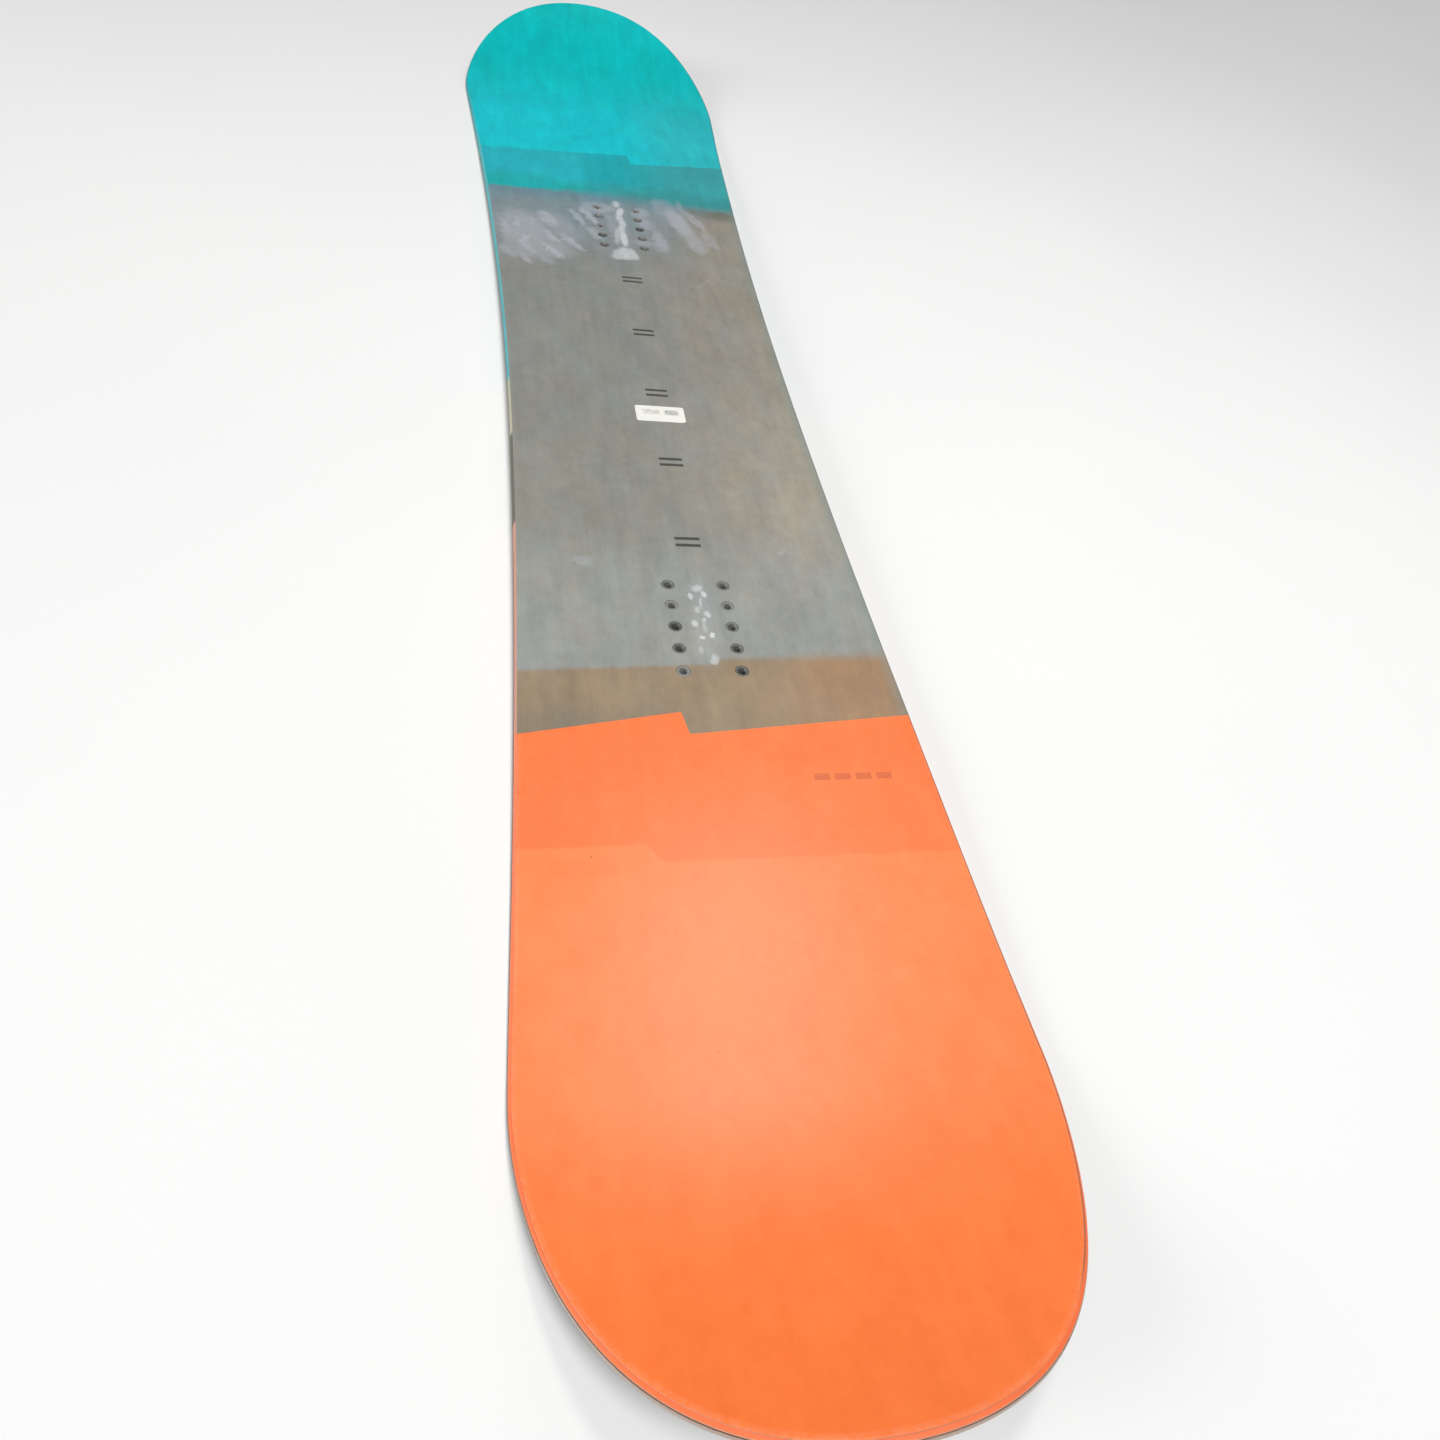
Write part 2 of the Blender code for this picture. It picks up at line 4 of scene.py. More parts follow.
import bmesh
import bpy
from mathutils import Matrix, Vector


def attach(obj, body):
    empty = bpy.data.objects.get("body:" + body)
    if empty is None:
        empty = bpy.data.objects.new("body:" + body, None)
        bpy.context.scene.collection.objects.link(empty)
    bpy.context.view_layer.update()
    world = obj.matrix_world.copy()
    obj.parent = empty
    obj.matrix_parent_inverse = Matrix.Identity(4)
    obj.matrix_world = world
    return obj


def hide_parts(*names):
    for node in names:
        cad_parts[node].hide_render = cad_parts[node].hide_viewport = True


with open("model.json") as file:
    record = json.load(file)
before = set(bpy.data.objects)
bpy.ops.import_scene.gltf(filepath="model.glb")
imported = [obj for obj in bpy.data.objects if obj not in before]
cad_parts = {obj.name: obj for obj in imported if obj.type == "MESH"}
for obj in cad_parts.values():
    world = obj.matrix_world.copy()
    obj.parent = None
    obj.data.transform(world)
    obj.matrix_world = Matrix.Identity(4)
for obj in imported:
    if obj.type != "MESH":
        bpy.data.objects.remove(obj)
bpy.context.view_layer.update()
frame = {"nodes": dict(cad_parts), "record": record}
print("frame loaded with", len(frame["nodes"]), "pieces")


# The camera is where the photograph was taken from. Angles in degrees, the focal length in pixels
# of the 1440 pixel frame.
camera = {
    "place": (-0.162882, -0.771161, 0.506796),
    "turn": 21.971,  # from +Y towards +X
    "dip": 49.083,  # below the horizon
    "roll": -16.391,
    "focal": 1030.158,
    "frame": 1440,
    "film": 36.0,
    "near": 0.01,
}


def placed(name, data):
    made = bpy.data.objects.new(name, data)
    bpy.context.scene.collection.objects.link(made)
    return made


def setCamera(c):
    turn, dip, roll = (math.radians(c[key]) for key in ("turn", "dip", "roll"))
    ahead = Vector((math.sin(turn) * math.cos(dip), math.cos(turn) * math.cos(dip), -math.sin(dip)))
    level = Vector((math.cos(turn), -math.sin(turn), 0.0))
    under = ahead.cross(level)
    right = math.cos(roll) * level + math.sin(roll) * under
    down = math.cos(roll) * under - math.sin(roll) * level
    lens = bpy.data.cameras.new("photoCamera")
    lens.sensor_width = c["film"]
    lens.lens = c["film"] * c["focal"] / c["frame"]
    lens.clip_start = c["near"]
    holder = placed("photoCamera", lens)
    matrix = holder.matrix_world.copy()
    for column, axis in enumerate((right, -down, -ahead, Vector(c["place"]))):
        for row in range(3):
            matrix[row][column] = axis[row]
    holder.matrix_world = matrix
    bpy.context.scene.camera = holder


# Plain pale floor and soft studio light. Places in metres, powers in watts.
studio = {
    "floorRadius": 4.5,
    "floorDrop": 0.0006,
    "coveRadius": 1.5,
    "wallHeight": 6.0,
    "sides": 128,
    "coveSteps": 12,
    "world": (0.92, 0.97, 1.0),
    "worldPower": 0.11,
    "lights": [
        # name, place, aim, size, power, colour
        ("key", (0.4, -2.0, 4.8), (0.0, 0.0, 0.0), 2.8, 190.0, (1.0, 1.0, 1.0)),
        ("side", (-4.32, -0.58, 1.44), (0.0, -0.1, 0.0), 2.24, 92.0, (1.0, 0.99, 0.97)),
        ("far", (2.6, 2.6, 2.4), (2.4, 2.2, 0.0), 2.0, 17.0, (1.0, 1.0, 1.0)),
        ("sheen", (0.41, 0.12, 1.60), (0.0, -0.56, 0.02), 0.38, 6.4, (1.0, 0.98, 0.95)),
    ],
}


def setStudio(c):
    world = bpy.data.worlds.new("studio")
    bpy.context.scene.world = world
    world.use_nodes = True
    back = world.node_tree.nodes["Background"]
    back.inputs["Color"].default_value = (*c["world"], 1.0)
    back.inputs["Strength"].default_value = c["worldPower"]
    for name, place, aim, size, power, colour in c["lights"]:
        lamp = bpy.data.lights.new(name, "AREA")
        lamp.shape = "DISK"
        lamp.size = size
        lamp.energy = power
        lamp.color = colour
        holder = placed(name, lamp)
        holder.location = place
        holder.visible_glossy = name != "far"
        holder.rotation_euler = (Vector(aim) - Vector(place)).to_track_quat("-Z", "Y").to_euler()
    bpy.context.scene.view_settings.view_transform = "Standard"


# An output of a node. A sign between two wires, or a wire and a number, adds a Math node.
class Wire:
    def __init__(self, socket):
        self.socket = socket

    def __add__(self, other):
        return calc("ADD", self, other)

    def __sub__(self, other):
        return calc("SUBTRACT", self, other)

    def __rsub__(self, other):
        return calc("SUBTRACT", other, self)

    def __mul__(self, other):
        return calc("MULTIPLY", self, other)

    def __truediv__(self, other):
        return calc("DIVIDE", self, other)


def join(value, socket):
    if isinstance(value, Wire):
        socket.id_data.links.new(value.socket, socket)
    else:
        socket.default_value = value


# A new node in a tree, with settings by name and inputs by their label or number.
def addNode(tree, kind, inputs=(), **settings):
    node = tree.nodes.new(kind)
    for key, value in settings.items():
        setattr(node, key, value)
    for key, value in dict(inputs).items():
        join(value, node.inputs[key])
    return node


# The tree of the first wire among the values.
def treeOf(values):
    return next(value.socket.id_data for value in values if isinstance(value, Wire))


def follow(kind, values, **settings):
    return addNode(treeOf(values), "ShaderNode" + kind, enumerate(values), **settings)


def calc(operation, *values):
    return Wire(follow("Math", values, operation=operation).outputs[0])


def vector(operation, *values, output=0):
    return Wire(follow("VectorMath", values, operation=operation).outputs[output])


def scaled(value, factor):
    result = vector("SCALE", value)
    join(factor, result.socket.node.inputs["Scale"])
    return result


# 0 below start, 1 above end, with a soft ramp between. Start may be the larger one.
def fade(value, start, end):
    node = follow("MapRange", (value, start, end), interpolation_type="SMOOTHSTEP")
    return Wire(node.outputs[0])


# A paint's 0 to 255 values, as the shader takes them.
def paint(*values):
    shares = [value / 255 for value in values]
    linear = [part / 12.92 if part <= 0.04045 else ((part + 0.055) / 1.055) ** 2.4 for part in shares]
    return (*linear, 1.0)


# Two colours mixed. Each is a wire, a paint's three values, or four as the shader takes them.
def blend(share, *colours):
    node = addNode(treeOf((share, *colours)), "ShaderNodeMix", data_type="RGBA")
    join(share, node.inputs[0])
    for number, colour in enumerate(colours, 6):
        ready = isinstance(colour, Wire) or len(colour) == 4
        join(colour if ready else paint(*colour), node.inputs[number])
    return Wire(node.outputs[2])


def noise(place, scale, detail, rough):
    inputs = {"Vector": place, "Scale": scale, "Detail": detail, "Roughness": rough}
    return Wire(addNode(treeOf([place]), "ShaderNodeTexNoise", inputs).outputs[0])


def split(value):
    return [Wire(output) for output in follow("SeparateXYZ", [value]).outputs]


def gather(*values):
    return Wire(follow("CombineXYZ", values).outputs[0])


def stretch(place, scale, shift=(0, 0, 0)):
    return vector("MULTIPLY_ADD", place, scale, shift)


def bump(height, depth, normal=None, strength=1.0):
    inputs = {"Strength": strength, "Distance": depth, "Height": height}
    if normal is not None:
        inputs["Normal"] = normal
    return Wire(addNode(height.socket.id_data, "ShaderNodeBump", inputs).outputs[0])


def newMaterial(name, **settings):
    material = bpy.data.materials.new(name)
    material.use_nodes = True
    for key, value in settings.items():
        material.node_tree.nodes["Principled BSDF"].inputs[key.replace("_", " ")].default_value = value
    return material, material.node_tree


# Ends a material: joins its colour, roughness and relief to the shader.
def coat(material, *values):
    shader = material.node_tree.nodes["Principled BSDF"]
    for key, value in zip(("Base Color", "Roughness", "Normal"), values):
        join(value, shader.inputs[key])
    return material


def attribute(tree, name, output="Fac"):
    return Wire(addNode(tree, "ShaderNodeAttribute", attribute_name=name).outputs[output])


# Places in millimetres: on the flat blank (across, along and above the base), and in the object.
def blankPlace(tree):
    return scaled(attribute(tree, "blank", "Vector"), 1000.0)


def objectPlace(tree):
    return scaled(Wire(addNode(tree, "ShaderNodeTexCoord").outputs["Object"]), 1000.0)


# Outline of the steel edge on the flat blank, in metres: x across, y along, the nose at +y.
outline = {
    "length": 1.540,
    "waist": 0.245,
    "noseWidth": 0.297,
    "tailWidth": 0.286,
    "noseLength": 0.170,
    "tailLength": 0.165,
    "waistSetback": 0.004,
    "noseTipHandle": 0.106,
    "noseSideHandle": 0.081,
    "tailTipHandle": 0.110,
    "tailSideHandle": 0.065,
    "wideHandle": 0.032,
    "waistHandle": 0.307,
    "tipSteps": 56,
    "sideSteps": 74,
}

# Side view that the press gives the board.
pressing = {
    "noseContact": outline["length"] / 2 - outline["noseLength"] - 0.020,
    "tailContact": -outline["length"] / 2 + outline["tailLength"] + 0.020,
    "contactLength": 0.025,
    "noseRadius": 0.320,
    "tailRadius": 0.340,
    "camber": 0.005,
}

# Where the binding inserts stand.
stance = {
    "width": 0.560,
    "setback": 0.012,
    "rows": 5,
    "pitch": 0.020,
    "columns": 0.040,
    "margin": 0.020,
}
tailPack = -stance["setback"] - stance["width"] / 2
nosePack = -stance["setback"] + stance["width"] / 2
halfSeat = (stance["rows"] - 1) / 2 * stance["pitch"] + stance["margin"]

# Edges between faces that meet at more than this are sharp, in degrees.
sharpAngle = 32

# Heights above the base of the flat blank, and distances in from the edge's outer face.
layers = {
    "glue": 0.0001,
    "base": 0.0012,
    "edgeWidth": 0.0020,
    "flangeEnd": 0.0070,
    "flange": 0.0005,
    "rubberEnd": 0.0080,
    "rubber": 0.0003,
    "glass": 0.0006,
    "glassStep": 0.0083,
    "setback": 0.0004,
    "sidewallIn": 0.0093,
    "topIn": 0.0020,
    "core": 0.0060,
    "tip": 0.0020,
    "topsheet": 0.0005,
    "inside": 0.02,
}
glue = layers["glue"]
edgeTop = layers["base"] + glue + layers["flange"]
rubberTop = edgeTop + glue + layers["rubber"]
glassOuterTop = rubberTop + glue + layers["glass"]
glassInnerTop = layers["base"] + glue + layers["glass"]
coreSeat = glassInnerTop + glue
sidewallSeat = glassOuterTop + glue

tailTip = Vector((0.0, -outline["length"] / 2))
tailWide = Vector((outline["tailWidth"] / 2, -outline["length"] / 2 + outline["tailLength"]))
waist = Vector((outline["waist"] / 2, -outline["waistSetback"]))
noseWide = Vector((outline["noseWidth"] / 2, outline["length"] / 2 - outline["noseLength"]))
noseTip = Vector((0.0, outline["length"] / 2))
tailTipHandle = tailTip + Vector((outline["tailTipHandle"], 0.0))
noseTipHandle = noseTip + Vector((outline["noseTipHandle"], 0.0))


# A place moved along the board by a handle's length, forward or back.
def onward(place, handle, way=1):
    return place + way * Vector((0.0, outline[handle]))


tailCurve = (tailTip, tailTipHandle, onward(tailWide, "tailSideHandle", -1), tailWide)
tailSide = (tailWide, onward(tailWide, "wideHandle"), onward(waist, "waistHandle", -1), waist)
noseSide = (waist, onward(waist, "waistHandle"), onward(noseWide, "wideHandle", -1), noseWide)
noseCurve = (noseWide, onward(noseWide, "noseSideHandle"), noseTipHandle, noseTip)


# Point and heading at a share of a four-point curve.
def curvePoint(curve, share):
    first = [curve[i].lerp(curve[i + 1], share) for i in range(3)]
    second = [first[i].lerp(first[i + 1], share) for i in range(2)]
    return second[0].lerp(second[1], share), (second[1] - second[0]).normalized()


def stationsOf(curve, key):
    steps = outline[key]
    return [curvePoint(curve, i / steps) for i in range(steps + 1)]


tailStations = stationsOf(tailCurve, "tipSteps")
noseStations = stationsOf(noseCurve, "tipSteps")
sideStations = stationsOf(tailSide, "sideSteps") + stationsOf(noseSide, "sideSteps")[1:]
allStations = tailStations + sideStations[1:] + noseStations[1:]


def coreTop(place):
    if place < tailPack - halfSeat:
        share = (tailPack - halfSeat - place) / (tailPack - halfSeat - tailWide.y)
    else:
        share = (place - nosePack - halfSeat) / (noseWide.y - nosePack - halfSeat)
    share = max(0.0, min(1.0, share))
    thick = layers["core"] + (layers["tip"] - layers["core"]) * share * share * (3 - 2 * share)
    return coreSeat + thick


def glassTop(place):
    return coreTop(place) + glue + layers["glass"]


def sheetTop(place):
    return glassTop(place) + glue + layers["topsheet"]


# Point of the right side's section, a distance in from the edge's face, at a height.
def spot(station, inset, height):
    point, heading = station
    return Vector((point.x - heading.y * inset, point.y + heading.x * inset, height))


def mirrored(point):
    return Vector((-point.x, point.y, point.z))


# Rounds the corners of a section. A corner is (inset, height, radius).
def rounded(corners, closed=True, steps=3):
    spots = []
    for i, (inset, height, radius) in enumerate(corners):
        here = Vector((inset, height))
        ends = not closed and i in (0, len(corners) - 1)
        if radius == 0 or ends:
            spots.append(here)
            continue
        before = Vector(corners[i - 1][:2])
        after = Vector(corners[(i + 1) % len(corners)][:2])
        start = here + (before - here).normalized() * radius
        end = here + (after - here).normalized() * radius
        for step in range(steps + 1):
            share = step / steps
            spots.append(start.lerp(here, share).lerp(here.lerp(end, share), share))
    return spots


def flatObject(name, mesh):
    bmesh.ops.remove_doubles(mesh, verts=mesh.verts, dist=1e-6)
    bmesh.ops.recalc_face_normals(mesh, faces=mesh.faces)
    data = bpy.data.meshes.new(name)
    mesh.to_mesh(data)
    mesh.free()
    return placed(name, data)


# Skins the gaps between rings of as many points. A point that comes twice counts once.
def bridge(mesh, rings):
    for ring, following in zip(rings, rings[1:]):
        for i in range(len(ring)):
            corners = (ring[i - 1], ring[i], following[i], following[i - 1])
            mesh.faces.new(tuple(dict.fromkeys(corners)))


# Closed skin through rings of points. Without caps the rings close at a tip.
def loft(name, rings, firstCap=False, lastCap=False):
    mesh = bmesh.new()
    inset = mesh.verts.layers.float.new("rim")
    rows = []
    for ring in rings:
        row = []
        for point, distance in ring:
            vertex = mesh.verts.new(point)
            vertex[inset] = distance
            row.append(vertex)
        rows.append(row)
    bridge(mesh, rows)
    if firstCap:
        mesh.faces.new(rows[0])
    if lastCap:
        mesh.faces.new(rows[-1])
    return flatObject(name, mesh)


# Ring over the whole width. The spots run from the underside's inner end out and up to the top.
def fullRing(station, spots, topSpans):
    right = [(spot(station, *place), place[0]) for place in spots]
    left = [(mirrored(point), distance) for point, distance in right]
    top = []
    for i in range(1, topSpans):
        point = right[-1][0].lerp(left[-1][0], i / topSpans)
        top.append((point, right[-1][1] + abs(abs(point.x) - right[-1][0].x)))
    return right + top + left[::-1]


def fullLayer(name, stations, section, topSpans=1, **caps):
    rings = [fullRing(station, section(station[0].y), topSpans) for station in stations]
    return loft(name, rings, **caps)


def sideLayer(name, stations, side, section):
    rings = []
    for station in stations:
        ring = [(spot(station, *place), place[0]) for place in section(station[0].y)]
        if side < 0:
            ring = [(mirrored(point), distance) for point, distance in ring]
        rings.append(ring)
    return loft(name, rings, firstCap=True, lastCap=True)


# A tree with its inputs. Gives the tree, its inputs' wires by label, and its end.
def newTree(name, inputs):
    tree = bpy.data.node_groups.new(name, "GeometryNodeTree")
    tree.is_modifier = True
    for way in ("INPUT", "OUTPUT"):
        tree.interface.new_socket("Geometry", in_out=way, socket_type="NodeSocketGeometry")
    for label, value in inputs.items():
        kind = value if isinstance(value, str) else {int: "Int", float: "Float"}[type(value)]
        socket = tree.interface.new_socket(label, in_out="INPUT", socket_type="NodeSocket" + kind)
        if not isinstance(value, str):
            socket.default_value = value
    wires = {output.name: Wire(output) for output in tree.nodes.new("NodeGroupInput").outputs}
    return tree, wires, tree.nodes.new("NodeGroupOutput")


# The press: keeps each point's place on the flat blank as an attribute, then bends the blank.
def pressGroup(c):
    tree, size, out = newTree("pressBend", c)
    position = Wire(tree.nodes.new("GeometryNodeInputPosition").outputs[0])
    inputs = {"Geometry": size["Geometry"], "Name": "blank", "Value": position}
    keep = addNode(tree, "GeometryNodeStoreNamedAttribute", inputs, data_type="FLOAT_VECTOR")
    x, y, z = split(position)
    nose, tail = size["noseContact"], size["tailContact"]
    noseTurn = calc("MAXIMUM", y - nose, 0.0) / size["noseRadius"]
    tailTurn = calc("MINIMUM", y - tail, 0.0) / size["tailRadius"]
    flat = calc("MINIMUM", calc("MAXIMUM", y, tail), nose)
    forward = calc("SINE", noseTurn) * size["noseRadius"] + flat
    forward = calc("SINE", tailTurn) * size["tailRadius"] + forward
    rise = (1.0 - calc("COSINE", noseTurn)) * size["noseRadius"]
    rise = (1.0 - calc("COSINE", tailTurn)) * size["tailRadius"] + rise
    nearNose = nose - size["contactLength"]
    nearTail = tail + size["contactLength"]
    half = (nearNose - nearTail) * 0.5
    middle = (nearNose + nearTail) * 0.5
    share = calc("MINIMUM", calc("MAXIMUM", (y - middle) / half, -1.0), 1.0)
    arch = 1.0 - share * share
    rise = rise + arch * arch * size["camber"]
    slope = share * arch * size["camber"] * -4.0 / half
    slope = slope + (noseTurn + tailTurn)
    forward = forward + size["shift"]
    place = gather(x, forward - calc("SINE", slope) * z, rise + calc("COSINE", slope) * z)
    move = addNode(tree, "GeometryNodeSetPosition", {"Geometry": Wire(keep.outputs[0]), "Position": place})
    join(Wire(move.outputs[0]), out.inputs[0])
    return tree


def pressEnd(place, contact, radius):
    return contact + radius * math.sin((place - contact) / radius)


noseEnd = pressEnd(noseTip.y, pressing["noseContact"], pressing["noseRadius"])
tailEnd = pressEnd(tailTip.y, pressing["tailContact"], pressing["tailRadius"])
pressing["shift"] = -(noseEnd + tailEnd) / 2
press = pressGroup(pressing)


# Node that takes a geometry first. Gives its first output.
def shaped(kind, geometry, inputs=(), **settings):
    inputs = {0: geometry, **dict(inputs)}
    return Wire(addNode(treeOf([geometry]), "GeometryNode" + kind, inputs, **settings).outputs[0])


# Ends a tree and gives it: press, realize, finish.
def endTree(wires, out, geometry):
    bent = shaped("Group", geometry, node_tree=press)
    real = shaped("RealizeInstances", bent)
    join(shaped("SetMaterial", real, {"Material": wires["Finish"]}), out.inputs[0])
    return out.id_data


def layerTree():
    _, wires, out = newTree("pressLayer", {"Finish": "Material"})
    return endTree(wires, out, wires["Geometry"])


packInputs = {
    "Rows": stance["rows"],
    "Row pitch": stance["pitch"],
    "Column spacing": stance["columns"],
    "Tail pack": tailPack,
    "Nose pack": nosePack,
}


# Points where the inserts stand: two grids, at the two packs.
def packPoints(tree, size):
    length = (size["Rows"] - 1.0) * size["Row pitch"]
    inputs = {"Vertices X": 2, "Vertices Y": size["Rows"], "Size X": size["Column spacing"], "Size Y": length}
    grid = Wire(addNode(tree, "GeometryNodeMeshGrid", inputs).outputs["Mesh"])
    both = tree.nodes.new("GeometryNodeJoinGeometry")
    for key in ("Tail pack", "Nose pack"):
        shift = gather(0.0, size[key], 0.0)
        join(shaped("Transform", grid, {"Translation": shift}), both.inputs[0])
    return Wire(both.outputs[0])


# The geometry of another object.
def geometryOf(tree, wire):
    return Wire(addNode(tree, "GeometryNodeObjectInfo", {"Object": wire}).outputs["Geometry"])


# A layer with a hole at every insert.
def drilledTree():
    tree, wires, out = newTree(
        "drilledLayer", {**packInputs, "Cutter": "Object", "Finish": "Material"}
    )
    drill = {"Instance": geometryOf(tree, wires["Cutter"])}
    spread = shaped("InstanceOnPoints", packPoints(tree, wires), drill)
    drills = shaped("RealizeInstances", spread)
    cut = addNode(tree, "GeometryNodeMeshBoolean", operation="DIFFERENCE", solver="EXACT")
    join(wires["Geometry"], cut.inputs["Mesh 1"])
    join(drills, cut.inputs["Mesh 2"])
    return endTree(wires, out, Wire(cut.outputs["Mesh"]))


# The inserts themselves, each turned by its own angle and with its own tone.
def insertTree():
    tree, wires, out = newTree("insertPacks", {**packInputs, "Seed": 4, "Finish": "Material"})
    turn, tone = [
        addNode(tree, "FunctionNodeRandomValue", {"Seed": seed}, data_type="FLOAT")
        for seed in (wires["Seed"], wires["Seed"] + 7.0)
    ]
    turn.inputs[3].default_value = math.tau
    inputs = {"Instance": wires["Geometry"], "Rotation": gather(0.0, 0.0, Wire(turn.outputs[1]))}
    spread = shaped("InstanceOnPoints", packPoints(tree, wires), inputs)
    inputs = {"Name": "tone", "Value": Wire(tone.outputs[1])}
    kept = shaped("StoreNamedAttribute", spread, inputs, data_type="FLOAT", domain="INSTANCE")
    return endTree(wires, out, shaped("RealizeInstances", kept))


# A strip of one section that follows the outline.
def railTree():
    tree, wires, out = newTree("outlineRail", {"Section": "Object", "Finish": "Material"})
    upright = shaped("SetCurveNormal", wires["Geometry"], mode="Z_UP")
    inputs = {"Profile Curve": geometryOf(tree, wires["Section"]), "Fill Caps": True}
    return endTree(wires, out, shaped("CurveToMesh", upright, inputs))


layerNodes = layerTree()
drilledNodes = drilledTree()
insertNodes = insertTree()
railNodes = railTree()


# Runs a tree on an object and keeps the result as a plain mesh.
def grow(name, source, tree, helpers=(), **values):
    modifier = source.modifiers.new("shape", "NODES")
    modifier.node_group = tree
    for key, value in values.items():
        modifier[tree.interface.items_tree[key].identifier] = value
    graph = bpy.context.evaluated_depsgraph_get()
    shape = source.evaluated_get(graph)
    data = bpy.data.meshes.new_from_object(shape, preserve_all_data_layers=True, depsgraph=graph)
    data.name = name
    source.modifiers.remove(modifier)
    for old in (source, *helpers):
        bpy.data.objects.remove(old)
    data.shade_smooth()
    data.set_sharp_from_angle(angle=math.radians(sharpAngle))
    return placed(name, data)


def settle(piece, slot, *nodes):
    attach(piece, "root")
    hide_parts(*nodes)
    print(piece.name, len(piece.data.polygons), "faces")


# Bands of the printed topsheet, in millimetres on the blank: a line to the left and one to the
# right as (x, along, x, along), the two x between which one steps to the other, and the softness
# where it is the same all along.
bands = {
    "tealFoot": ((-125.4, 333.0, 0.2, 339.0), (0.2, 337.0, 121.7, 330.0), (-12.0, 12.0)),
    "tealStep": ((-125.3, 427.1, 27.6, 448.1), (29.6, 425.0, 132.1, 444.0), (26.0, 29.0), 0.9),
    "tanHead": ((-125.4, -331.8, 0.0, -326.6), (0.0, -322.4, 121.2, -317.6), (-4.0, 6.0)),
    "orangeHead": ((-128.3, -382.2, -27.2, -366.6), (-22.1, -384.1, 125.3, -370.9), (-27.0, -22.5), 0.45),
    "paleHead": ((-130.3, -462.6, -60.3, -462.0), (-58.2, -474.0, 131.3, -474.9), (-62.0, -50.0), 1.1),
}

printColours = {
    "teal": (0, 183, 184),
    # the two pale teals are partly the print and partly a painted sheen
    "tealSheenPale": (18, 201, 212),
    "tealSheenPaleRight": (42, 191, 200),
    "tealDark": (39, 182, 195),
    "tealDeep": (28, 171, 181),
    "tealDusk": (59, 163, 167),
    "tealFootLeft": (30, 172, 172),
    "tealFoot": (60, 150, 152),
    "haze": (96, 140, 154),
    "olive": (112, 113, 100),
    "grey": (138, 139, 134),
    "greyRight": (149, 144, 133),
    "greyMid": (143, 142, 134),
    "greyMidRight": (161, 155, 143),
    "greyNear": (151, 153, 148),
    "greyFar": (130, 145, 151),
    "tan": (152, 134, 111),
    "tanRight": (163, 132, 103),
    "tanFoot": (140, 127, 108),
    "orange": (252, 125, 71),
    "orangeWarm": (255, 127, 72),
    "orangePale": (255, 137, 82),
    "orangeDeep": (254, 125, 60),
    "ink": (52, 52, 48),
    "orangeInk": (186, 92, 60),
    "scuff": (184, 185, 194),
    "dust": (160, 160, 159),
    "white": (222, 227, 228),
    "rimLight": (250, 176, 150),
    # painted shade along the topsheet's right edge
    "rimPaintedShade": (84, 78, 70),
    "rimCool": (132, 146, 142),
}

# Scuffs that bindings and boots left: x, along, length, width, turn from the board's length in
# degrees (positive leans the far end to the left), strength.
scuffs = [
    (-103.3, 256.6, 24, 7, 2, 0.72),
    (-89.3, 261, 22, 5, -4, 0.6),
    (-72.3, 270.6, 34, 16, 23, 0.68),
    (-114.4, 242.2, 44, 10, 6, 0.58),
    (-98.3, 223.7, 24, 10, -32, 0.68),
    (-71.3, 233.5, 30, 10, 24, 0.68),
    (-72.3, 206.4, 34, 10, 32, 0.74),
    (-52.2, 226.1, 38, 9, 34, 0.62),
    (-94.3, 206.8, 26, 9, 30, 0.66),
    (-114.4, 197.2, 26, 10, 26, 0.42),
    (-99.4, 187.6, 24, 10, 30, 0.46),
    (-80.3, 190.2, 28, 11, 26, 0.36),
    (-62.2, 256.9, 70, 26, 20, 0.24),
    (-96.3, 239.8, 84, 46, 8, 0.46),
    (-84.3, 208.1, 40, 66, 10, 0.36),
    (-42.6, 280.6, 34, 7, 20, 0.56),
    (-29, 285, 42, 8, 25, 0.66),
    (-28, 249.9, 26, 11, 26, 0.46),
    (-13.9, 305.6, 28, 16, -62, 0.5),
    (-5.9, 270.7, 60, 14, 4, 0.28),
    (24.4, 303.8, 26, 16, -6, 0.4),
    (28.4, 279.8, 24, 14, 16, 0.4),
    (20.3, 239.3, 12, 20, 0, 0.26),
    (38.5, 245.9, 44, 13, 4, 0.48),
    (52.7, 320.9, 44, 24, 16, 0.3),
    (63.8, 291, 66, 20, 14, 0.6),
    (76, 249.1, 40, 18, 10, 0.44),
    (71, 323.5, 40, 6, 8, 0.3),
    (83.1, 299.7, 46, 8, 20, 0.44),
    (93.2, 259.7, 40, 12, 12, 0.3),
    (-78.3, -230.2, 9, 14, 0, 0.3),
    (71.7, -214.9, 10, 4, -40, 0.22),
    (70.9, 168.4, 26, 3, -40, 0.22),
    (-22, 306, 26, 26, 20, 0.34),
    (0.5, -288, 86, 20, 0, 0.08),
    (0, 270, 110, 16, 0, 0.2),
]

